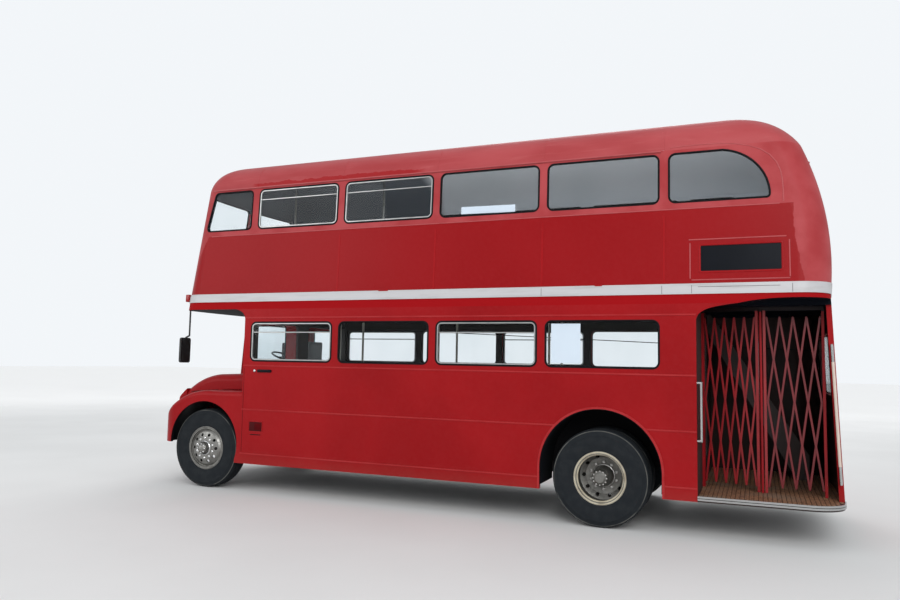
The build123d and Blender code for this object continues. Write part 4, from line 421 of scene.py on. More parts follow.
def gate_frame_look():
    """Red posts below a dark track."""
    look = Look("gate_frame_paint", GATE_RED, 0.36, Specular_IOR_Level=0.2)
    worn = look.mix(look.patches(5.0, 5.0, 0.4, 0.75, 0.6), GATE_RED, GATE_WORN)
    return look.finished(look.mix(look.z > TRACK_FOOT_Z, worn, (26, 16, 18)), look.noise(90.0), 0.05)


def rail_look():
    """Bright metal handles; the rear rail's middle is sleeved in cream."""
    look = Look("rail_metal", (0.5, 0.5, 0.5, 1.0), 0.25)
    sleeve = (abs(look.z - RAIL_SLEEVE[0]) < RAIL_SLEEVE[1]) * (look.x < -3.6)
    stains = look.patches(9.0, 5.0, 0.45, 0.75, 0.3)
    bright = look.mix(stains, (0.46, 0.46, 0.455, 1.0), (0.26, 0.26, 0.26, 1.0))
    bright = look.mix(abs(look.z - TRIM_GROOVE_Z) < 0.003, bright, (0.03, 0.03, 0.03, 1.0))
    look.set("Metallic", 1.0 - sleeve)
    return look.finished(look.mix(sleeve, bright, (206, 190, 178)), look.noise(60.0), 0.05)


def wood_look():
    """Worn hardwood slats running across the bus, with bare and dirty patches."""
    look = Look("slat_wood", (112, 74, 50), 0.62)
    grain = look.noise(18.0, 6.0, (6.0, 0.6, 1.0))
    color = look.mix(look.ramp(grain, 0.35, 0.7), (150, 108, 78), (96, 62, 44))
    return look.finished(look.mix(look.patches(3.0, 4.0, 0.45, 0.7, 0.5), color, (134, 120, 104)), grain, 0.3, 0.002)


def floor_look(name, edge, below):
    """Floor covering on the faces that look up, one colour below and another round the edge."""
    look = Look(name, edge, 0.6, Specular_IOR_Level=0.03)
    normal_x, _, up = look.normal()
    ends = (abs(look.x + 0.20) > 3.50) * (abs(normal_x) > 0.3)
    outer = ((abs(look.y) > 1.0) | ends) * (1.0 - look.inward())
    worn = look.mix(look.patches(5.0, 4.0, 0.4, 0.7, 0.4), (96, 84, 76), (62, 48, 44))
    color = look.mix(up > 0.5, look.mix(outer, below, edge), worn)
    return look.finished(look.mix(up < -0.5, color, below), look.noise(120.0), 0.06)


def fabric_look():
    """Cut-moquette seat cloth: a plain dark weave with a small even check."""
    look = Look("seat_cloth", (86, 34, 32), 0.9, Sheen_Weight=0.3)
    along, across, up = [(place * WEAVE).do("SINE") for place in (look.x, look.y, look.z)]
    color = look.mix(look.ramp((along + up) * across, -0.6, 0.9), (70, 26, 28), (118, 66, 48))
    color = look.mix(look.patches(8.0, 3.0, 0.4, 0.7, 0.4), color, (44, 24, 26))
    return look.finished(color, look.noise(700.0, 2.0), 0.3, 0.002)


paint = paint_look("body_paint")
wing_paint = paint_look("wing_paint", wells=True)
panel_paint = paint_look("lower_panel_paint", panels=True)
upper_paint = paint_look("upper_panel_paint", upper=True)
roof_paint = roof_look()
band_paint = band_look()
upper_trim_paint = plain_look("trim_paint", FADED, 0.45, FADED_DEEP)
rim_cream = plain_look("rim_cream", (186, 178, 156), 0.5, (120, 104, 82))
black_paint = plain_look("chassis_black", (28, 28, 30), 0.6, (56, 52, 48), 12.0, Specular_IOR_Level=0.2)
arch_black = plain_look("arch_black", (18, 20, 24), 0.7, (30, 31, 34), 12.0, Specular_IOR_Level=0.1)
lining = plain_look("interior_lining", LOWER_LINING, 0.6, (66, 50, 46), 6.0)
# the upper deck floor's faces that look down form the lower saloon's ceiling; their near black colour is painted shade
deck = floor_look("deck_surfaces_ceiling_shade", RED, (16, 19, 26))
floor_cover = floor_look("saloon_floor_surfaces", (22, 22, 24), (22, 22, 24))
rubber_black = plain_look("gasket_rubber", (14, 15, 18), 0.6, (28, 28, 30), 20.0, Specular_IOR_Level=0.1)
aluminium = metal_look("aluminium_trim", (0.46, 0.46, 0.455, 1.0), 0.34, (0.2, 1.0, 1.0), 0.35)
chrome = metal_look("chrome_plate", (0.66, 0.66, 0.66, 1.0), 0.16)
wheel_silver = metal_look("wheel_silver", (0.27, 0.265, 0.25, 1.0), 0.42, dirt=0.7)
wheel_dark = metal_look("wheel_dark", (0.22, 0.215, 0.20, 1.0), 0.5, dirt=0.6)
nut_metal = metal_look("nut_metal", (0.48, 0.47, 0.45, 1.0), 0.35, dirt=0.6)
rail_paint = rail_look()
grille_metal = grille_look()
gate_frame_paint = gate_frame_look()
rail_white = plain_look("pole_sleeve", (214, 208, 192), 0.35, (190, 182, 166), 10.0)
paper = plain_look("blank_paper", (206, 219, 231), 0.7, (196, 210, 224), 4.0, 0.02)
seam_dark = plain_look("seam_shadow", (70, 12, 15), 0.6, (50, 10, 13), Specular_IOR_Level=0.1)
band_dark = plain_look("band_shadow", (96, 92, 92), 0.6, (70, 66, 66))
red_lens = plain_look("red_lens", (150, 10, 12), 0.12, (120, 6, 8), 10.0, 0.02)
# painted shade: deeper red for the heater intake's mouth, standing in for the shade in its recess
recess_shade_red = plain_look("recess_shade_red", (84, 10, 14), 0.8, (60, 8, 12), 20.0, 0.02, Specular_IOR_Level=0.05)
plate_white = plain_look("blank_plate", (206, 206, 200), 0.4, (186, 184, 176), 10.0, 0.02)
glass = glass_look()
sign_black = plain_look("sign_black", (6, 10, 18), 0.3, (16, 20, 28), 8.0, 0.02, Specular_IOR_Level=0.12)
wood = wood_look()
dark_wood = plain_look("platform_base", (40, 26, 22), 0.7, (58, 40, 32), 10.0)
cloth = fabric_look()
gate_paint = plain_look("gate_paint", GATE_RED, 0.34, GATE_WORN, 16.0)
# painted shade: a darker copy of the gate red for the rear lattice, which stands in shade
shaded_gate_paint = plain_look("gate_paint_shaded", (112, 20, 27), 0.38, (80, 14, 20), 16.0)
leather = plain_look("driver_leathercloth", (36, 34, 34), 0.45, (60, 54, 50), 12.0)
lens_glass = Look("lamp_glass", (0.85, 0.88, 0.9, 1.0), 0.08, IOR=1.5, Coat_Weight=0.5).material
moulding_black = plain_look("moulded_black", (20, 20, 21), 0.45, (40, 40, 41))
tyre_front = rubber_look("tyre_front", FRONT_AXLE_X)
tyre_rear = rubber_look("tyre_rear", REAR_AXLE_X)

NODE_LOOKS = {
    paint: "cab_shell nose_panel bonnet cab_door",
    wing_paint: "front_wings",
    panel_paint: "lower_side_nearside lower_side_offside rear_lower_panel",
    upper_paint: "upper_side_nearside upper_side_offside upper_front upper_rear emergency_door",
    deck: "upper_deck_floor",
    roof_paint: "roof_front_dome roof_centre roof_rear_dome",
    band_paint: "waist_band",
    black_paint: "underframe cross_members engine_block gearbox_shafts_and_tank springs front_axle_beam rear_axle "
                 "front_knuckle_nearside front_knuckle_offside seat_frames",
    lining: "front_bulkhead rear_bulkhead staircase",
    floor_cover: "saloon_floor",
    dark_wood: "platform",
    grille_metal: "radiator_grille",
    chrome: "headlamps",
    rail_paint: "platform_brightwork",
    wheel_silver: "front_rim_nearside front_rim_offside",
    wheel_dark: "rear_rims_nearside rear_rims_offside",
    tyre_front: "front_tyre_nearside front_tyre_offside",
    tyre_rear: "rear_tyres_nearside rear_tyres_offside",
    glass: "side_glass end_glass cab_door_glass emergency_glass",
    sign_black: "sign_boxes",
    cloth: "passenger_seats driver_seat",
    moulding_black: "steering_wheel mirrors",
    gate_frame_paint: "gate_frame",
    gate_paint: "gate_post_front gate_post_rear gate_lattice_front gate_lattice_rear",
}
for look, names in NODE_LOOKS.items():
    for name in names.split():
        slots = nodes[name].data.materials
        slots.clear()
        slots.append(look)


# ---------------------------------------------------------------- studio floor

FLOOR_REACH = 90.0
FLOOR_TONE = (226, 226, 225)


def add_floor():
    """Pale floor that gives off a little light far from the bus, for the camera only, so it meets the backdrop."""
    look = Look("studio_floor", FLOOR_TONE, 0.85)
    look.set("Base Color", look.mix(look.patches(0.4), FLOOR_TONE, (221, 221, 220)))
    far_off = look.ramp(look.x * look.x + look.y * look.y, 70.0, 600.0, 0.0, 0.32)
    look.set("Emission Strength", far_off * look.add("LightPath", {}).outputs["Is Camera Ray"])
    look.set("Emission Color", (1.0, 1.0, 1.0, 1.0))
    mesh = bpy.data.meshes.new("studio_floor")
    corners = [(x * FLOOR_REACH, y * FLOOR_REACH, 0) for x, y in ((-1, -1), (1, -1), (1, 1), (-1, 1))]
    mesh.from_pydata(corners, [], [(0, 1, 2, 3)])
    mesh.materials.append(look.material)
    link_new("studio_floor", mesh)


add_camera()
for lamp_values in STUDIO_LAMPS:
    add_lamp(*lamp_values)
add_saloon_lamp()
add_world()
add_floor()

# ---------------------------------------------------------------- geometry helpers

REACH = 8.0                   # rays start this far out
NUDGE = 0.0007                # a ray that slips between two faces is cast again from this far beside it
SHARP = math.radians(40)
UP = Vector((0, 0, 1))


def ride(piece, material, body):
    """Says which body carries a piece, and which slot it takes its finish from."""
    piece.data.materials.append(material)
    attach(piece, body)
    return piece


def make_object(name, mesh, material, body="root", smooth=True):
    """Links a mesh as a piece that rides on a body."""
    if smooth:
        mesh.shade_smooth()
        mesh.set_sharp_from_angle(angle=SHARP)
    return ride(link_new(name, mesh), material, body)


def from_bmesh(name, bm):
    mesh = bpy.data.meshes.new(name)
    bm.to_mesh(mesh)
    bm.free()
    return mesh


def mesh_from(name, points, faces):
    mesh = bpy.data.meshes.new(name)
    mesh.from_pydata([tuple(point) for point in points], [], faces)
    mesh.validate()
    bm = bmesh.new()
    bm.from_mesh(mesh)
    bmesh.ops.recalc_face_normals(bm, faces=bm.faces)
    bm.to_mesh(mesh)
    bm.free()
    return mesh


def skin(rows, size, loop=False):
    """Faces between closed rings of points of one size; a loop's last ring joins its first, others are capped."""
    faces = []
    for row in range(rows if loop else rows - 1):
        here, other = row * size, (row + 1) % rows * size
        for step in range(size):
            after = (step + 1) % size
            faces.append((here + step, here + after, other + after, other + step))
    if not loop:
        faces += [tuple(range(size)), tuple(range((rows - 1) * size, rows * size))]
    return faces


def block_mesh(name, middle, size, bevel, segments=3):
    """Box with rounded edges."""
    bm = bmesh.new()
    bmesh.ops.create_cube(bm, size=1.0)
    for vertex in bm.verts:
        vertex.co = Vector(middle) + Vector(share * length for share, length in zip(vertex.co, size))
    bmesh.ops.bevel(bm, geom=list(bm.edges), offset=bevel, segments=segments, profile=0.5, affect="EDGES")
    return from_bmesh(name, bm)


def bevelled_box(name, low, high, bevel, material):
    """Piece that is a box between two corners with rounded edges."""
    low, high = Vector(low), Vector(high)
    make_object(name, block_mesh(name, (low + high) / 2, high - low, bevel), material)


def joined(name, meshes):
    """One mesh from several."""
    bm = bmesh.new()
    for mesh in meshes:
        bm.from_mesh(mesh)
    return from_bmesh(name, bm)


def placed(source, matrix):
    """Copy of a mesh moved by a matrix."""
    copy = source.copy()
    copy.transform(matrix)
    return copy


def shell_surface(names):
    """Ray-cast tree over the outer faces of these CAD nodes."""
    points, faces = [], []
    for name in names.split():
        mesh = nodes[name].data
        start = len(points)
        points += [vertex.co.copy() for vertex in mesh.vertices]
        faces += [[start + index for index in face.vertices] for face in mesh.polygons]
    return BVHTree.FromPolygons(points, faces)


body_shell = shell_surface(
    "upper_side_nearside upper_side_offside upper_front upper_rear emergency_door cab_door roof_front_dome roof_centre "
    "roof_rear_dome lower_side_nearside lower_side_offside rear_lower_panel waist_band cab_shell upper_deck_floor"
)


def cast(shell, origin, direction):
    """First hit on a shell and its normal, turned to face the ray."""
    for nudge in (0.0, NUDGE, -NUDGE):
        hit, normal, _, _ = shell.ray_cast(origin + Vector((nudge, nudge, nudge)), direction)
        if hit:
            return hit, normal if normal.dot(direction) < 0 else -normal
    raise ValueError(f"no surface from {origin} along {direction}")


def on_side(side, shell=body_shell):
    """Place function for points (x, z) on the nearside (1) or offside (-1) surface."""
    return lambda x, z: cast(shell, Vector((x, side * REACH, z)), Vector((0, -side, 0)))


def on_end(end, shell=body_shell):
    """Place function for points (y, z) on the front (1) or rear (-1) surface."""
    return lambda y, z: cast(shell, Vector((end * REACH, y, z)), Vector((-end, 0, 0)))


SIDES = {side: on_side(side) for side in (1, -1)}
front_face, rear_face = on_end(1), on_end(-1)


def arc(centre_u, centre_v, radius, start, sweep, steps):
    """Points along an arc, its angles in degrees."""
    turns = [math.radians(start + sweep * step / steps) for step in range(steps + 1)]
    return [(centre_u + radius * math.cos(turn), centre_v + radius * math.sin(turn)) for turn in turns]


def rounded(low_u, high_u, low_v, high_v, corner, steps=7):
    """Rounded rectangle as a closed list of points."""
    left, right, foot, head = low_u + corner, high_u - corner, low_v + corner, high_v - corner
    centres = [(right, head), (left, head), (left, foot), (right, foot)]
    return [point for turn, centre in enumerate(centres) for point in arc(*centre, corner, 90.0 * turn, 90.0, steps)]


def divided(outline, longest=0.12):
    """The outline with points added so that no run is longer than this."""
    result = []
    for index, (u, v) in enumerate(outline):
        next_u, next_v = outline[(index + 1) % len(outline)]
        parts = max(1, math.ceil(math.hypot(next_u - u, next_v - v) / longest))
        result += [(u + (next_u - u) * part / parts, v + (next_v - v) * part / parts) for part in range(parts)]
    return result


def moulding(outline, place, section, closed=True):
    """Mesh that carries a section along an outline on the body; section is (outward in the plane, proud) pairs."""
    count = len(outline)
    near_out, far_out = 0.010, 0.020
    points = []
    for index, (u, v) in enumerate(outline):
        before = outline[index - 1] if closed or index > 0 else outline[0]
        after = outline[(index + 1) % count] if closed or index < count - 1 else outline[-1]
        run_u, run_v = after[0] - before[0], after[1] - before[1]
        length = math.hypot(run_u, run_v)
        out_u, out_v = run_v / length, -run_u / length
        near, normal = place(u + near_out * out_u, v + near_out * out_v)
        far, _ = place(u + far_out * out_u, v + far_out * out_v)
        across = far - near
        across = (across - normal * across.dot(normal)).normalized()
        points += [near + across * (a - near_out) + normal * b for a, b in section]
    return mesh_from("moulding", points, skin(count, len(section), closed))


def strip(path, place, section):
    """Open moulding along (u, v) points, its section centred on the path."""
    return moulding(path, place, section, closed=False)


def level(u, v, step, count):
    """Points side by side, from (u, v) on."""
    return [(u + step * index, v) for index in range(count)]


def upright(u, v, step, count):
    """Points above each other, from (u, v) up."""
    return [(u, v + step * index) for index in range(count)]


def turned(centre, direction, profile, steps=64):
    """Mesh turned about the Y axis through centre; profile is (outboard, radius) pairs."""
    points = []
    for step in range(steps):
        turn = 2 * math.pi * step / steps
        for out, radius in profile:
            points.append(Vector(centre) + Vector((radius * math.cos(turn), direction * out, radius * math.sin(turn))))
    return mesh_from("turned", points, skin(steps, len(profile), loop=True))


def bend(back, here, ahead, cut, steps):
    """Points round a corner, from cut before it to cut after it."""
    start = here + (back - here).normalized() * cut
    end = here + (ahead - here).normalized() * cut
    shares = [step / steps for step in range(steps + 1)]
    return [start.lerp(here, share).lerp(here.lerp(end, share), share) for share in shares]


def rod(name, path, radius, material, body="root"):
    """Round bar through a list of points, its bends rounded."""
    curve = bpy.data.curves.new(name, "CURVE")
    curve.dimensions = "3D"
    curve.bevel_depth = radius
    curve.bevel_resolution = 3
    curve.use_fill_caps = True
    path = [Vector(point) for point in path]
    points = [path[0]]
    for back, here, ahead in zip(path, path[1:], path[2:]):
        cut = min(3.0 * radius, 0.4 * (back - here).length, 0.4 * (ahead - here).length)
        points += bend(back, here, ahead, cut, 4)
    points.append(path[-1])
    spline = curve.splines.new("POLY")
    spline.points.add(len(points) - 1)
    for spline_point, point in zip(spline.points, points):
        spline_point.co = (*point, 1.0)
    ride(link_new(name, curve), material, body)


# ---------------------------------------------------------------- windows

BULKHEAD_X = 2.591            # first pillar
BAY = 1.281                   # pillar pitch
BAYS = 4
PILLARS = [BULKHEAD_X - BAY * pillar for pillar in range(BAYS + 1)]
PILLAR_FRONT = 0.050          # from a pillar's line forward to the window ahead of it
PILLAR_REAR = 0.045           # and back to the window behind it
LOWER_SILL, LOWER_HEAD = 1.640, 2.133
UPPER_SILL, UPPER_HEAD = 3.340, 3.862
WINDOW_CORNER = 0.070
REAR_LOWER_CORNER = 0.035
REAR_QUARTER_LENGTH = 0.960
REAR_QUARTER_CURVE = [(0.430, 0.0), (0.165, -0.125)]       # from the rear edge and the head
FRONT_QUARTER_LENGTHS = (0.740, 0.610)                      # at the sill and the head
LOWER_FRAMED = (0, 2)         # bays whose windows have a metal frame and a sliding light
UPPER_FRAMED = (0, 1)
SLIDER_DROP = 0.26            # the sliding light's bar lies this share of the height below the head
BAR_SECTION = ((0.0, -0.007), (0.008, -0.005), (0.008, 0.005), (0.0, 0.007))
GASKET = [(-0.014, -0.012), (-0.014, 0.001), (-0.010, 0.005), (0.001, 0.006), (0.006, 0.003), (0.007, -0.003)]
METAL_FRAME = [(-0.030, -0.014), (-0.030, -0.003), (-0.027, 0.002), (-0.015, 0.002), (-0.013, -0.003), (-0.013, -0.012)]


def bay_outline(bay, sill, head):
    return rounded(PILLARS[bay + 1] + PILLAR_FRONT, PILLARS[bay] - PILLAR_REAR, sill, head, WINDOW_CORNER)


def circle_through(a, b, c):
    """Centre and radius of the circle through three 2D points."""
    d = 2 * (a.x * (b.y - c.y) + b.x * (c.y - a.y) + c.x * (a.y - b.y))
    squares = [p.x * p.x + p.y * p.y for p in (a, b, c)]
    x = (squares[0] * (b.y - c.y) + squares[1] * (c.y - a.y) + squares[2] * (a.y - b.y)) / d
    y = (squares[0] * (c.x - b.x) + squares[1] * (a.x - c.x) + squares[2] * (b.x - a.x)) / d
    centre = Vector((x, y))
    return centre, (a - centre).length


def rear_quarter_outline():
    """Window over the platform: square in front, its top falling in one curve to the rear."""
    front = PILLARS[BAYS] - PILLAR_REAR
    rear = front - REAR_QUARTER_LENGTH
    inner, small = front - WINDOW_CORNER, REAR_LOWER_CORNER
    start, middle = [Vector((rear + u, UPPER_HEAD + v)) for u, v in REAR_QUARTER_CURVE]
    end = Vector((rear, UPPER_SILL + WINDOW_CORNER))
    centre, radius = circle_through(start, middle, end)
    first, last = [math.degrees(math.atan2(point.y - centre.y, point.x - centre.x)) for point in (start, end)]
    return [
        (front, UPPER_SILL + WINDOW_CORNER),
        *arc(inner, UPPER_HEAD - WINDOW_CORNER, WINDOW_CORNER, 0.0, 90.0, 6),
        *arc(*centre, radius, first, (last - first) % 360.0, 16),
        *arc(rear + small, UPPER_SILL + small, small, 180.0, 90.0, 6),
        *arc(inner, UPPER_SILL + WINDOW_CORNER, WINDOW_CORNER, 270.0, 90.0, 6)[:-1],
    ]


def front_quarter_outline():
    """Front side window: its front edge leans back with the front."""
    rear = BULKHEAD_X + 0.060
    sill_front, head_front = [rear + length for length in FRONT_QUARTER_LENGTHS]
    corners = [(rear, UPPER_SILL), (sill_front, UPPER_SILL), (head_front, UPPER_HEAD), (rear, UPPER_HEAD)]
    corners = [Vector(corner) for corner in corners]
    points = []
    for back, here, ahead in zip(corners[-1:] + corners, corners, corners[1:] + corners[:1]):
        cut = WINDOW_CORNER / math.tan((back - here).angle(ahead - here) / 2)
        points += [tuple(point) for point in bend(back, here, ahead, cut, 6)]
    return points


def ring(outline, place, section=GASKET):
    """Moulding round a window, whichever way its outline runs."""
    area = sum(u * after[1] - v * after[0] for (u, v), after in zip(outline, outline[1:] + outline[:1]))
    return moulding(divided(outline if area > 0 else outline[::-1]), place, section)


def slider_bar(outline, place, side, sill, head):
    """Bar across the window under its sliding light."""
    bar_z = head - SLIDER_DROP * (head - sill)
    ends = [min(u for u, v in outline) + 0.024, max(u for u, v in outline) - 0.024]
    depth = place(ends[0] - 0.05, bar_z)[0].y - side * 0.012
    points = [(end_x, depth + side * out, bar_z + up) for end_x in ends for out, up in BAR_SECTION]
    return mesh_from("bar", points, skin(2, len(BAR_SECTION)))


for side, hand in HANDS:
    place = SIDES[side]
    gaskets, frames = [], []
    for bay in range(BAYS):
        for framed, sill, head in ((LOWER_FRAMED, LOWER_SILL, LOWER_HEAD), (UPPER_FRAMED, UPPER_SILL, UPPER_HEAD)):
            outline = bay_outline(bay, sill, head)
            gaskets.append(ring(outline, place))
            if bay in framed:
                frames += [ring(outline, place, METAL_FRAME), slider_bar(outline, place, side, sill, head)]
    gaskets += [ring(rear_quarter_outline(), place), ring(front_quarter_outline(), place)]
    make_object(f"window_gaskets_{hand}", joined("gaskets", gaskets), rubber_black)
    make_object(f"window_frames_{hand}", joined("frames", frames), aluminium)

FRONT_PANE_WIDTH = 0.915
EMERGENCY_PANE = (0.490, 3.330, 3.790)                      # width, foot and head
end_gaskets = [
    ring(rounded(low_y, low_y + FRONT_PANE_WIDTH, UPPER_SILL, UPPER_HEAD, WINDOW_CORNER), front_face)
    for low_y in (0.045, -0.960)
]
make_object("front_window_gaskets", joined("gaskets", end_gaskets), rubber_black)
rear_ring = ring(rounded(-0.620, 0.330, 1.400, 2.040, WINDOW_CORNER), rear_face)
make_object("rear_window_gasket", rear_ring, rubber_black)
pane_width, *pane_levels = EMERGENCY_PANE
pane_rings = [ring(rounded(low_y, low_y + pane_width, *pane_levels, 0.060), rear_face) for low_y in (0.040, -0.530)]
make_object("emergency_pane_gaskets", joined("gaskets", pane_rings), rubber_black, "emergency_door")

# ---------------------------------------------------------------- body trim

GUTTER = [(-0.012, -0.004), (-0.012, 0.006), (-0.004, 0.016), (0.006, 0.016), (0.010, 0.006), (0.010, -0.004)]
JOINT_STRIP = [(-0.014, -0.002), (-0.012, 0.0025), (0.012, 0.0025), (0.014, -0.002)]
THIN_BEAD = [(-0.006, -0.002), (-0.005, 0.003), (0.0, 0.005), (0.005, 0.003), (0.006, -0.002)]
FINE_LINE = [(-0.0025, -0.002), (-0.0022, 0.0012), (0.0022, 0.0012), (0.0025, -0.002)]
GUTTER_PATH = level(3.30, 3.893, -0.1, 59)
PANEL_TOP_PATH = level(3.28, PANEL_TOP_Z, -0.1, 70)
DRIP_RAIL_PATH = [
    (-2.60, 3.930), (-2.75, 3.935), (-2.92, 3.936), (-3.08, 3.930), (-3.22, 3.912), (-3.35, 3.880), (-3.46, 3.832),
    (-3.54, 3.770), (-3.60, 3.690), (-3.635, 3.600), (-3.650, 3.500), (-3.655, 3.400), (-3.655, 3.290),
]

for side, hand in HANDS:
    place = SIDES[side]
    paths = ((GUTTER_PATH, GUTTER), (DRIP_RAIL_PATH, THIN_BEAD), (PANEL_TOP_PATH, THIN_BEAD))
    strips = [strip(path, place, section) for path, section in paths]
    make_object(f"roof_gutter_{hand}", joined("gutter", strips), upper_trim_paint)
    strips = [strip(upright(pillar + 0.0025, 2.51, 0.05, 15), place, JOINT_STRIP) for pillar in PILLARS[1:]]
    make_object(f"panel_joints_{hand}", joined("strips", strips), paint)
    strips = [strip(upright(pillar + 0.01, 3.905, 0.03, 10), place, JOINT_STRIP) for pillar in PILLARS]
    make_object(f"roof_joints_{hand}", joined("strips", strips), roof_paint)

nearside = SIDES[1]
sign_border = [level(-2.774, 2.946, -0.1, 10), level(-2.800, 2.536, -0.1, 10)]
sign_border += [upright(x, 2.55, 0.04, 10) for x in (-2.786, -3.700)]
border_strips = [strip(path, nearside, THIN_BEAD) for path in sign_border]
make_object("side_sign_border", joined("border", border_strips), upper_trim_paint)
for name, limits, place in (
    ("side_sign_ring", (-3.641, -2.874, 2.610, 2.895), nearside),
    ("front_sign_ring", (-0.450, 0.450, 2.660, 3.080), front_face),
    ("rear_sign_ring", (-0.330, 0.330, 2.640, 2.900), rear_face),
):
    make_object(name, ring(rounded(*limits, 0.024), place), paint)

# ---------------------------------------------------------------- wheels

FRONT_WHEEL_Y = 1.030
REAR_WHEEL_Y = 0.920
TWIN_HALF = 0.145
TREAD_RADIUS = 0.503
GROOVES = (0.052, 0.018)
GROOVE_HALF = 0.004
GROOVE_DEPTH = 0.011
TURN_STEPS = 96
NUT_TURN = math.radians(18)
SIDEWALL = [
    (0.0947, 0.2565), (0.0947, 0.2755), (0.103, 0.2765), (0.107, 0.283), (0.111, 0.290), (0.110, 0.296),
    (0.118, 0.318), (0.1225, 0.345), (0.125, 0.375), (0.1245, 0.405), (0.1215, 0.430), (0.1235, 0.436),
    (0.1205, 0.442), (0.114, 0.464), (0.108, 0.480), (0.1075, 0.486), (0.100, 0.493), (0.088, 0.4985), (0.074, 0.501),
]
RIM_EDGE = [
    (0.101, 0.252), (0.107, 0.255), (0.109, 0.265), (0.104, 0.273), (0.098, 0.271), (0.096, 0.262), (0.066, 0.250),
    (0.066, 0.238), (0.074, 0.232), (0.082, 0.234), (0.084, 0.242),
]
HUB_FLANGE = [(0.020, 0.110), (0.028, 0.118), (0.030, 0.112), (0.026, 0.104), (0.016, 0.104)]
HUB_RING = [(0.122, 0.092), (0.128, 0.096), (0.136, 0.092), (0.140, 0.084), (0.130, 0.082)]


def tyre(centre, side):
    """Tyre with grooves round its tread, its section mirrored about the middle."""
    half = list(SIDEWALL)
    for groove in GROOVES:
        half += [
            (groove + GROOVE_HALF, TREAD_RADIUS - 0.0005), (groove + 0.7 * GROOVE_HALF, TREAD_RADIUS - GROOVE_DEPTH),
            (groove - 0.7 * GROOVE_HALF, TREAD_RADIUS - GROOVE_DEPTH), (groove - GROOVE_HALF, TREAD_RADIUS),
        ]
    return turned(centre, side, half + [(-out, radius) for out, radius in reversed(half)], TURN_STEPS)


def nut_mesh(across, height, stud):
    """Hexagon nut on its stud, chamfered, its foot at the origin and its top outboard."""
    rings = [
        (0.0, across), (height * 0.8, across), (height, across * 0.86), (height, stud), (height * 1.5, stud),
        (height * 1.6, stud * 0.7),
    ]
    points = []
    for out, reach in rings:
        for corner in range(6):
            turn = math.radians(60 * corner)
            points.append((reach * math.cos(turn), out, reach * math.sin(turn)))
    return mesh_from("nut", points, skin(len(rings), 6))


def nuts(source, centre, side, radius, out, count, start=0.0):
    """Copies of a nut on a circle about the axle, pointing outboard."""
    bm = bmesh.new()
    for index in range(count):
        turn = start + 2 * math.pi * index / count
        at = Vector(centre) + Vector((radius * math.cos(turn), side * out, radius * math.sin(turn)))
        bm.from_mesh(placed(source, Matrix.Translation(at) @ Matrix.Diagonal((1.0, side, 1.0, 1.0))))
    bmesh.ops.recalc_face_normals(bm, faces=bm.faces)
    return from_bmesh("nuts", bm)


wheel_nut = nut_mesh(0.017, 0.016, 0.009)
small_nut = nut_mesh(0.010, 0.009, 0.005)
for side, hand in HANDS:
    body = f"front_wheel_{hand}"
    centre = (FRONT_AXLE_X, side * FRONT_WHEEL_Y, AXLE_Z)
    moulded = make_object(f"front_tyre_moulded_{hand}", tyre(centre, side), tyre_front, body)
    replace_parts(moulded, f"front_tyre_{hand}")
    make_object(f"front_rim_edge_{hand}", turned(centre, side, RIM_EDGE, TURN_STEPS), wheel_dark, body)
    fittings = [
        turned(centre, side, HUB_RING),
        nuts(wheel_nut, centre, side, 0.128, 0.112, 10, NUT_TURN),
        nuts(small_nut, centre, side, 0.055, 0.192, 8),
    ]
    make_object(f"front_wheel_fittings_{hand}", joined("fittings", fittings), chrome, body)

    body = f"rear_wheels_{hand}"
    inner, centre, outer = [(REAR_AXLE_X, side * (REAR_WHEEL_Y + out), AXLE_Z) for out in (-TWIN_HALF, 0.0, TWIN_HALF)]
    twins = joined("twins", [tyre(outer, side), tyre(inner, side)])
    moulded = make_object(f"rear_tyres_moulded_{hand}", twins, tyre_rear, body)
    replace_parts(moulded, f"rear_tyres_{hand}")
    make_object(f"rear_rim_edge_{hand}", turned(outer, side, RIM_EDGE, TURN_STEPS), rim_cream, body)
    fittings = [
        nuts(wheel_nut, centre, side, 0.140, 0.014, 10, NUT_TURN),
        nuts(small_nut, centre, side, 0.070, 0.236, 12),
        turned(centre, side, HUB_FLANGE, 48),
    ]
    make_object(f"rear_wheel_fittings_{hand}", joined("fittings", fittings), nut_metal, body)

# ---------------------------------------------------------------- arch linings

ARCH_FOOT_Z = 0.400
ARCH_LINING = 0.006           # thickness
ARCH_LINING_Y = (0.700, 1.214)


def arch_lining(centre_x, centre_z, radius, low_y, high_y):
    """Curved sheet inside a wheel arch, its legs straight down to the skirt."""
    foot = ARCH_FOOT_Z - centre_z
    outer = [(radius, foot), *arc(0.0, 0.0, radius, 0.0, 180.0, 30), (-radius, foot)]
    share = 1.0 - ARCH_LINING / radius
    inner = [(u * share, v * share if v > 0 else v) for u, v in outer]
    loop = outer + inner[::-1]
    size = len(loop)
    points = [(centre_x + u, y, centre_z + v) for y in (low_y, high_y) for u, v in loop]
    faces = skin(2, size)[:size]
    for index in range(len(outer) - 1):
        quad = (index, index + 1, size - 2 - index, size - 1 - index)
        faces += [quad, tuple(size + corner for corner in quad)]
    return mesh_from("lining", points, faces)


for side, hand in HANDS:
    edges = sorted(side * y for y in ARCH_LINING_Y)
    sheet_mesh = arch_lining(*REAR_ARCH[:2], REAR_ARCH[2] - 0.001, *edges)
    make_object(f"rear_arch_lining_{hand}", sheet_mesh, arch_black)

# ---------------------------------------------------------------- platform gates

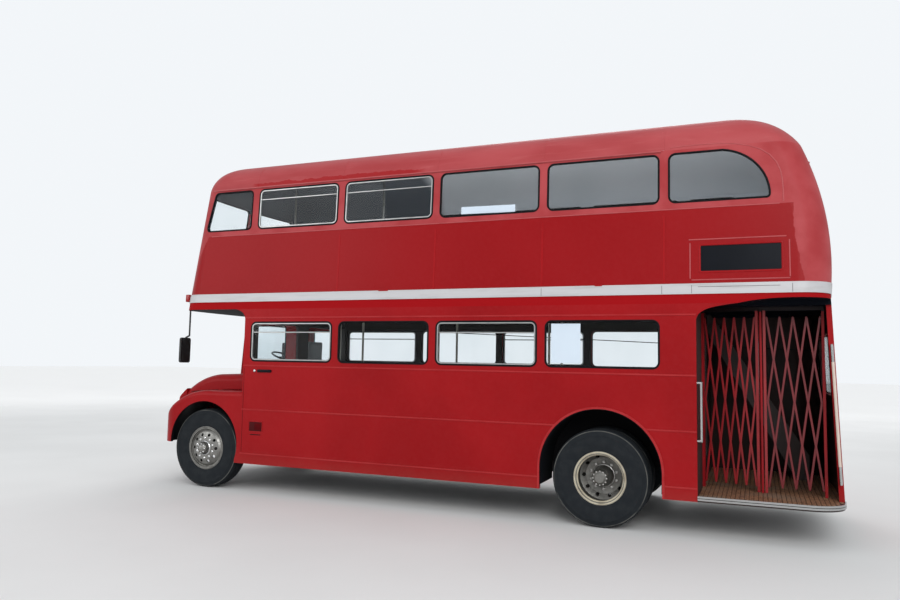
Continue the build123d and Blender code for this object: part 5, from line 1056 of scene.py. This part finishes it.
POST = 0.026
JAMB_FIT = 0.0003
FRONT_JAMB = Vector((-2.838 - 0.62 * POST - JAMB_FIT, 0.482, 0.0))
MIDDLE_POST = Vector((-3.430, 0.630, 0.0))
REAR_JAMB = Vector((-4.010, 0.640, 0.0))
SLIDING_GAP = 0.036           # from the middle post to each sliding post
STRIP_HALF = 0.010
STRIP_THICK = 0.004
STRIP_SOFT = 0.0009           # rounding of a strip's edges
RIVET_RINGS = ((0.0062, 0.0), (0.0058, 0.0012), (0.0035, 0.0024))      # radius and height
LATTICE_LOW, LATTICE_HIGH = 0.470, 2.190


def strip_mesh(start, end, depth_way, low):
    """Flat lattice strip with round ends and softened edges, its back at this depth."""
    run = (end - start).normalized()
    wide = run.cross(depth_way).normalized()
    outline = []
    for centre, begin in ((end, -90.0), (start, 90.0)):
        outline += [(centre, centre + run * u + wide * v) for u, v in arc(0.0, 0.0, STRIP_HALF, begin, 180.0, 6)]
    high = low + STRIP_THICK
    levels = [(low, STRIP_SOFT), (low + STRIP_SOFT, 0.0), (high - STRIP_SOFT, 0.0), (high, STRIP_SOFT)]
    points = []
    for depth, inset in levels:
        points += [point + (centre - point).normalized() * inset + depth_way * depth for centre, point in outline]
    return mesh_from("strip", points, skin(len(levels), len(outline)))


def rivet_mesh(centre, depth_way, across, outward):
    """Round rivet head standing on the outer face of the front or back strips."""
    points = []
    for radius, rise in RIVET_RINGS:
        middle = centre + depth_way * outward * (STRIP_THICK + rise)
        for step in range(8):
            turn = math.radians(45 * step)
            points.append(middle + across * radius * math.cos(turn) + UP * radius * math.sin(turn))
    return mesh_from("rivet", points, skin(len(RIVET_RINGS), 8))


def lattice_gate(name, jamb, columns, material):
    """Two layers of crossed strips between a jamb and its sliding post, riveted at their ends and crossings."""
    post = MIDDLE_POST + (jamb - MIDDLE_POST).normalized() * SLIDING_GAP
    way = (post - jamb).normalized()
    depth_way = Vector((way.y, -way.x, 0.0))
    clear = POST / 2 + JAMB_FIT
    reach = (post - jamb).length - 2 * clear
    pitch = (reach - 2 * STRIP_HALF) / columns
    origin = jamb + way * (clear + STRIP_HALF)

    def at(column, share):
        return origin + way * (column * pitch) + UP * (LATTICE_LOW + share * (LATTICE_HIGH - LATTICE_LOW))

    strips = [(column, 0.0, column + 2, 1.0) for column in range(columns - 1)]
    strips += [(0, 0.5, 1, 1.0), (columns - 1, 0.0, columns, 0.5)]
    pieces = []
    for foot, foot_share, head, head_share in strips:
        pieces.append(strip_mesh(at(foot, foot_share), at(head, head_share), depth_way, -STRIP_THICK))
        pieces.append(strip_mesh(at(columns - foot, foot_share), at(columns - head, head_share), depth_way, 0.0))
    crossings = [(column, share) for column in range(columns + 1) for share in (0.0, 0.5, 1.0)]
    crossings += [(column + 0.5, share) for column in range(columns) for share in (0.25, 0.75)]
    pieces += [rivet_mesh(at(*crossing), depth_way, way, outward) for crossing in crossings for outward in (1, -1)]
    gate = make_object(f"{name}_riveted", joined(name, pieces), material)
    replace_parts(gate, name)
    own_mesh(gate)


lattice_gate("gate_lattice_front", FRONT_JAMB, 5, gate_paint)
lattice_gate("gate_lattice_rear", REAR_JAMB, 4, shaded_gate_paint)

# ---------------------------------------------------------------- seats

SEAT_WIDTH = 0.860
SEAT_DEPTH = 0.430
SEAT_TOP = 0.440              # above the floor
SEAT_LEVEL = 0.96             # the seats' distance from the wall is measured at this height above the floor
WALL_TO_SEAT = 0.068          # from the body's face to the seat
BACK_LEAN = math.atan2(0.115, 0.630)
LOWER_ROWS = [(2.300 - 0.720 * row, 0.640) for row in range(5)]      # front X and floor Z
UPPER_ROWS = [(3.120 - 0.700 * row, 2.394) for row in range(9)]
UPPER_OFFSIDE_ROWS = 8
CUSHION_CAP = 0.012           # how far stuffing may push a point
VOXEL = 0.014
STUFFING_PRESSURE = 4.0
STUFFING_FRAMES = 20
PIPING_RADIUS = 0.0038
PIPING_INSET = 0.004


def apply_modifiers(piece):
    """Puts the result of the piece's modifiers into its mesh."""
    graph = bpy.context.evaluated_depsgraph_get()
    mesh = bpy.data.meshes.new_from_object(piece.evaluated_get(graph))
    piece.modifiers.clear()
    piece.data = mesh


def apply_new(piece, kind, **settings):
    modifier = piece.modifiers.new(kind.lower(), kind)
    for name, value in settings.items():
        setattr(modifier, name, value)
    apply_modifiers(piece)


def stuff(piece):
    """Blows a closed form up by cloth pressure."""
    cloth_settings = piece.modifiers.new("stuffing", "CLOTH").settings
    cloth_settings.use_pressure = True
    cloth_settings.uniform_pressure_force = STUFFING_PRESSURE
    cloth_settings.effector_weights.gravity = 0.0
    cloth_settings.quality = 6
    for frame_number in range(1, STUFFING_FRAMES + 1):
        scene.frame_set(frame_number)
    apply_modifiers(piece)
    scene.frame_set(1)


def stuffed(size, corner, triangles):
    """Padded form inside this size: crowned, its sides pulled in between the corners."""
    start = [length - 2 * CUSHION_CAP * 0.75 for length in size]
    piece = link_new("stuffed", block_mesh("stuffed", (0, 0, 0), start, corner))
    apply_new(piece, "REMESH", mode="VOXEL", voxel_size=VOXEL)
    rest = [vertex.co.copy() for vertex in piece.data.vertices]
    stuff(piece)
    for vertex, before in zip(piece.data.vertices, rest):
        move = vertex.co - before
        if move.length > CUSHION_CAP:
            move = move.normalized() * CUSHION_CAP
        moved = before + move
        if abs(before.y) > 0.44 * size[1]:
            moved.y *= 1.0 - 0.012 * (1.0 - (2 * before.x / size[0]) ** 2)
        vertex.co = Vector(max(-length / 2, min(length / 2, value)) for value, length in zip(moved, size))
    apply_new(piece, "SUBSURF", levels=1)
    faces = sum(len(face.vertices) - 2 for face in piece.data.polygons)
    if faces > triangles:
        apply_new(piece, "DECIMATE", ratio=triangles / faces)
    mesh = piece.data.copy()
    bpy.data.objects.remove(piece)
    return mesh


def piping(source, half_x, half_y, height):
    """Sewn cord round the edge of a cushion, laid on its surface at this height."""
    faces = [tuple(face.vertices) for face in source.polygons]
    tree = BVHTree.FromPolygons([vertex.co for vertex in source.vertices], faces)
    middle = Vector((0.0, 0.0, height))
    loop = []
    for u, v in divided(rounded(-half_x, half_x, -half_y, half_y, 0.05, 3), 0.06):
        edge = Vector((u, v, height))
        beyond = edge * 1.4 - middle * 0.4
        loop.append(tree.ray_cast(beyond, (middle - beyond).normalized())[0] or edge)
    points = []
    for before, here, after in zip(loop[-1:] + loop, loop, loop[1:] + loop[:1]):
        out = (after - before).normalized().cross(UP).normalized()
        points += [here + out * u + UP * v for u, v in arc(0.0, 0.0, PIPING_RADIUS, 0.0, 300.0, 5)]
    return mesh_from("piping", points, skin(len(loop), 6, loop=True))


def sewn(size, corner, triangles):
    """A stuffed form with piping along its upper edge."""
    form = stuffed(size, corner, triangles)
    return joined("sewn", [form, piping(form, size[0] / 2 - PIPING_INSET, size[1] / 2 - PIPING_INSET, 0.20 * size[2])])


def seat_edge(floor, inward):
    """Distance from the centreline of a line this far inboard of the seats' outer edge."""
    tumblehome = 0.0486 * max(0.0, floor + SEAT_LEVEL - 2.36)
    return 1.219 - tumblehome - WALL_TO_SEAT - inward


def pad(name, meshes, material):
    """Padded piece made of several sewn forms."""
    piece = make_object(name, joined(name, meshes), material)
    return piece


seat_cushion = sewn((0.428, 0.858, 0.108), 0.030, 900)
seat_back = sewn((0.600, 0.858, 0.060), 0.022, 900)
rows = [(x, z, side) for x, z in LOWER_ROWS for side in (1, -1)]
rows += [(x, z, 1) for x, z in UPPER_ROWS] + [(x, z, -1) for x, z in UPPER_ROWS[:UPPER_OFFSIDE_ROWS]]
back_turn = Matrix.Rotation(-(math.pi / 2 - BACK_LEAN) - math.pi, 4, "Y")
cushions, backs = [], []
for front, floor, side in rows:
    seat = Vector((front - SEAT_DEPTH, side * seat_edge(floor, SEAT_WIDTH / 2), floor + SEAT_TOP))
    cushions.append(placed(seat_cushion, Matrix.Translation(seat + Vector((0.2145, 0.0, -0.056)))))
    backs.append(placed(seat_back, Matrix.Translation(seat + Vector((-0.0275, 0.0, 0.205))) @ back_turn))
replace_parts(pad("passenger_cushions_padded", cushions, cloth), "passenger_seats")
pad("passenger_backs_padded", backs, cloth)

bench_cushion = sewn((1.196, 0.540, 0.070), 0.022, 1400)
bench_back = sewn((1.196, 0.348, 0.064), 0.020, 1000)
benches = []
for side in (1, -1):
    benches.append(placed(bench_cushion, Matrix.Translation((REAR_AXLE_X, side * 0.8925, 1.2653))))
    upright_turn = Matrix.Rotation(side * math.pi / 2, 4, "X")
    benches.append(placed(bench_back, Matrix.Translation((REAR_AXLE_X, side * 1.1327, 1.4756)) @ upright_turn))
pad("bench_seats_padded", benches, cloth)

driver_cushion = sewn((0.416, 0.436, 0.088), 0.028, 1200)
driver_back = sewn((0.516, 0.396, 0.068), 0.024, 1200)
driver_forms = [
    placed(driver_cushion, Matrix.Translation((3.0202, -0.620, 1.465))),
    placed(driver_back, Matrix.Translation((2.775, -0.620, 1.700)) @ Matrix.Rotation(math.pi / 2, 4, "Y")),
]
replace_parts(pad("driver_seat_padded", driver_forms, leather), "driver_seat")

# ---------------------------------------------------------------- fittings on the body

SHEET_STAND = 0.0002          # the blank sheets' distance from the glass, and their thickness
SHEET_THICK = 0.0005
SIDE_FOOT = 0.003             # how deep a fitting's foot is sunk
END_FOOT = 0.004
FLASHER_BACK = 0.400          # the offside flasher stands behind the open cab door


def blank_sheet(name, x_low, x_high, z_low, z_high, tilt=0.0):
    """Blank sheet stuck to the outer face of the nearside glass."""
    on_glass = on_side(1, shell_surface("side_glass"))
    corners = [(x_low, z_low), (x_high, z_low + tilt), (x_high, z_high + tilt), (x_low, z_high)]
    hits = [on_glass(*corner)[0] for corner in corners]
    points = [hit + Vector((0, stand, 0)) for stand in (SHEET_STAND, SHEET_STAND + SHEET_THICK) for hit in hits]
    make_object(name, mesh_from(name, points, skin(2, 4)), paper, smooth=False)


def side_box(name, x_low, x_high, z_low, z_high, depth, bevel, material, side=1):
    """Small bevelled block whose back is sunk into the side at its middle."""
    face = abs(SIDES[side]((x_low + x_high) / 2, (z_low + z_high) / 2)[0].y)
    edges = sorted((side * (face - SIDE_FOOT), side * (face + depth)))
    bevelled_box(name, (x_low, edges[0], z_low), (x_high, edges[1], z_high), bevel, material)


def dome(name, hit, normal, radius, depth, foot, material):
    """Round domed fitting standing on a face, its foot sunk into it."""
    profile = [
        (-foot, radius), (depth * 0.5, radius), (depth * 0.8, radius * 0.85), (depth, radius * 0.5), (depth, 0.0005),
        (-foot, 0.0005),
    ]
    mesh = turned((0.0, 0.0, 0.0), 1, profile, 24)
    turn = Vector((0, 1, 0)).rotation_difference(normal).to_matrix().to_4x4()
    mesh.transform(Matrix.Translation(hit) @ turn)
    make_object(name, mesh, material)


blank_sheet("blank_notice", -1.676, -1.360, 1.682, 2.102)
blank_sheet("blank_window_strip", -0.926, -0.278, 3.356, 3.440, tilt=0.010)

for side, hand in HANDS:
    back = 0.0 if side > 0 else FLASHER_BACK
    side_box(f"flasher_lens_{hand}", 2.215 - back, 2.425 - back, 1.500, 1.534, 0.016, 0.006, sign_black, side)
    cap_hit = SIDES[side](2.468 - back, 1.518)[0]
    dome(f"flasher_cap_{hand}", cap_hit, Vector((0, side, 0)), 0.018, 0.014, SIDE_FOOT, chrome)
    for label, low_x, high_x in (("front", 0.608, 0.738), ("rear", -1.906, -1.827)):
        side_box(f"band_clip_{label}_{hand}", low_x, high_x, 2.492, 2.512, 0.012, 0.004, paint, side)
    lamp_x = front_face(side * 1.100, 2.462)[0].x
    lamp_y = sorted((side * 1.062, side * 1.142))
    corners = ((lamp_x - 0.012, lamp_y[0], 2.412), (lamp_x + 0.046, lamp_y[1], 2.512))
    bevelled_box(f"corner_lamp_{hand}", *corners, 0.010, red_lens)

# painted shade: the heater intake is drawn as flat pieces; the dark plate, the deeper red mouth and the black slot
# stand in for the shade in its recess and opening
side_box("heater_intake_plate", 2.332, 2.518, 0.765, 0.877, 0.002, 0.001, seam_dark)
make_object("heater_intake_border", ring(rounded(2.320, 2.530, 0.755, 0.887, 0.012, 3), nearside, THIN_BEAD), paint)
side_box("heater_intake_mouth", 2.345, 2.440, 0.778, 0.864, 0.004, 0.001, recess_shade_red)
side_box("intake_slot_shade", 2.345, 2.505, 0.716, 0.726, 0.002, 0.0008, sign_black)

seam_paths = [level(-2.860, 2.465, -0.05, 16)] + [upright(x, 2.400, 0.02, 6) for x in (-1.25, -2.511, -2.80, -3.718)]
make_object("band_seams", joined("seams", [strip(path, nearside, FINE_LINE) for path in seam_paths]), band_dark)
wing_seams = [strip(upright(2.630, 0.50, 0.05, 22), SIDES[side], FINE_LINE) for side in (1, -1)]
make_object("wing_seams", joined("seams", wing_seams), seam_dark)

# ---------------------------------------------------------------- platform boards

BOARD_FRONT_X = -2.862
BOARD_PITCH = 0.042
BOARD_SIZE = (0.036, 0.006)   # width and thickness
BOARD_TOP_Z = 0.4035
BOARD_MARGINS = (0.060, 0.050)  # from the platform's inner and outer edges
BOARD_MOST = 40
BOARD_LEAST = 0.2             # shorter boards are left out
PLATFORM_PROBE = (2.0, 0.395)  # rays across the platform start this far out, at this height

platform_shell = shell_surface("platform")
boards = []
for index in range(BOARD_MOST):
    middle_x = BOARD_FRONT_X - index * BOARD_PITCH
    spans = []
    for x in (middle_x - BOARD_SIZE[0] / 2, middle_x + BOARD_SIZE[0] / 2):
        hits = [
            platform_shell.ray_cast(Vector((x, side * PLATFORM_PROBE[0], PLATFORM_PROBE[1])), Vector((0, -side, 0)))[0]
            for side in (-1, 1)
        ]
        if all(hits):
            spans.append([hit.y for hit in hits])
    if len(spans) < 2:
        continue
    low_y = max(span[0] for span in spans) + BOARD_MARGINS[0]
    high_y = min(span[1] for span in spans) - BOARD_MARGINS[1]
    if high_y - low_y < BOARD_LEAST:
        continue
    middle = (middle_x, (low_y + high_y) / 2, BOARD_TOP_Z - BOARD_SIZE[1] / 2)
    boards.append(block_mesh("board", middle, (BOARD_SIZE[0], high_y - low_y, BOARD_SIZE[1]), 0.0015, segments=1))
make_object("platform_boards", joined("boards", boards), wood)

# ---------------------------------------------------------------- poles

POLE_RADIUS = 0.015
POLE_FOOT = 0.86              # above the floor, on a seat's back
POLE_BACK = 0.520             # behind the seat's front
POLE_IN = SEAT_WIDTH - 0.020  # from the seats' outer edge
LOWER_POLE_ROWS = (0, 2, 4)
UPPER_POLE_ROWS = (0, 2)
LOWER_CEILING_Z = 2.302
UPPER_CEILING_Z = 4.300


def pole(name, row, side, top_z, material):
    """Upright pole from a seat's aisle corner to the ceiling."""
    front_x, floor = row
    x, y = front_x - POLE_BACK, side * seat_edge(floor, POLE_IN)
    rod(name, [(x, y, floor + POLE_FOOT), (x, y, top_z)], POLE_RADIUS, material)


for row in LOWER_POLE_ROWS:
    for side, hand in HANDS:
        pole(f"pole_lower_{row}_{hand}", LOWER_ROWS[row], side, LOWER_CEILING_Z, rail_white)
for row in UPPER_POLE_ROWS:
    pole(f"pole_upper_{row}", UPPER_ROWS[row], 1, UPPER_CEILING_Z, wheel_silver)

# ---------------------------------------------------------------- bonnet edge and cab windows

EDGE_SHADE = [(-0.006, -0.002), (-0.006, 0.0012), (0.006, 0.0012), (0.006, -0.002)]
EDGE_SHADE_FRONT_X = 3.880
EDGE_SHADE_Z = 1.248
bonnet_shell = shell_surface("bonnet")


def on_bonnet(x, z):
    """First hit on the bonnet's nearside and its normal; both are None past its edge."""
    return bonnet_shell.ray_cast(Vector((x, REACH, z)), Vector((0, -1, 0)))[:2]


def shade_height(x):
    """Height of the bonnet's lower edge line, which droops towards the front."""
    return EDGE_SHADE_Z - 0.012 * max(0.0, x - 3.05) / 0.38 - 0.025 * max(0.0, x - 3.434) / 0.5


edge_line = [(x, shade_height(x)) for x, _ in level(EDGE_SHADE_FRONT_X, 0.0, -0.052, 24)]
edge_line = [(x, z) for x, z in edge_line if on_bonnet(x, z)[0] and on_bonnet(x, z + 0.03)[0]]
make_object("bonnet_edge_shade", strip(edge_line, on_bonnet, EDGE_SHADE), seam_dark, "bonnet")

cab_rings = [
    ring(rounded(-1.110, -0.070, 1.440, 2.180, 0.060), front_face),
    ring(rounded(2.860, 3.440, 1.580, 2.150, 0.050), nearside),
]
make_object("cab_window_gaskets", joined("gaskets", cab_rings), rubber_black)
flush_gasket = [(a, min(b, 0.0)) for a, b in GASKET]
door_ring = ring(rounded(2.765, 3.205, 1.640, 2.130, 0.050), SIDES[-1], flush_gasket)
make_object("cab_door_gasket", door_ring, rubber_black, "cab_door")

# ---------------------------------------------------------------- end fittings


def end_rod(name, place, path, radius, material, body="root"):
    """Rod through (y, z, stand) points that stand off an end face."""
    points = []
    for y, z, stand in path:
        hit, normal = place(y, z)
        points.append(hit + normal * stand)
    rod(name, points, radius, material, body)


WIPER_ARM = [(-0.400, 2.206, 0.004), (-0.400, 2.206, 0.030), (-0.640, 1.880, 0.020)]
WIPER_BLADE = [(-0.560, 2.080, 0.012), (-0.720, 1.680, 0.012)]
end_rod("wiper_arm", front_face, WIPER_ARM, 0.005, rubber_black)
end_rod("wiper_blade", front_face, WIPER_BLADE, 0.006, rubber_black)

SIDE_LAMP = (0.980, 0.945)    # Y and Z
TAIL_LAMP_Z = 1.120
on_wings = on_end(1, shell_surface("front_wings"))
for side, hand in HANDS:
    lamp_place = on_wings(side * SIDE_LAMP[0], SIDE_LAMP[1])
    dome(f"side_lamp_rim_{hand}", *lamp_place, 0.036, 0.012, END_FOOT, chrome)
    dome(f"side_lamp_lens_{hand}", *lamp_place, 0.029, 0.020, END_FOOT, lens_glass)
for y, hand in ((-0.960, "offside"), (0.640, "nearside")):
    lamp_place = rear_face(y, TAIL_LAMP_Z)
    dome(f"tail_lamp_rim_{hand}", *lamp_place, 0.046, 0.001, END_FOOT, rubber_black)
    dome(f"tail_lamp_{hand}", *lamp_place, 0.040, 0.0018, END_FOOT, red_lens)

REAR_PLATE_Z = 1.120
REAR_PLATE_HALF = 0.055
plate_section = [(0.055 - 0.0275 * step, 0.0012) for step in range(5)]
plate_section = [(REAR_PLATE_HALF, -0.001), *plate_section, (-REAR_PLATE_HALF, -0.001)]
make_object("rear_blank_plate", strip(level(-0.405, REAR_PLATE_Z, 0.052, 11), rear_face, plate_section), plate_white)
bevelled_box("front_blank_plate", (4.058, -0.260, 0.452), (4.066, 0.260, 0.566), 0.003, plate_white)
HANDLE_HALF = 0.060
HANDLE_Z = 3.278
handle = [(side * HANDLE_HALF, HANDLE_Z, stand) for side, stand in ((-1, -0.004), (-1, 0.026), (1, 0.026), (1, -0.004))]
end_rod("emergency_door_handle", rear_face, handle, 0.007, chrome, "emergency_door")

# closes the triangular opening between the offside nose panel and the wing, (x, z) points
NOSE_FILLER = [
    (3.655, 1.090), (3.720, 1.060), (3.780, 1.015), (3.840, 0.960), (3.900, 0.895), (3.940, 0.860), (3.975, 0.860),
    (3.975, 1.150), (3.655, 1.150),
]
NOSE_FILLER_Y = (-0.7485, -0.7420)
filler_points = [(x, y, z) for y in NOSE_FILLER_Y for x, z in NOSE_FILLER]
filler = mesh_from("filler", filler_points, skin(2, len(NOSE_FILLER)))
make_object("nose_side_filler", filler, panel_paint, smooth=False)

# ---------------------------------------------------------------- finish

scene.view_settings.view_transform = "Standard"
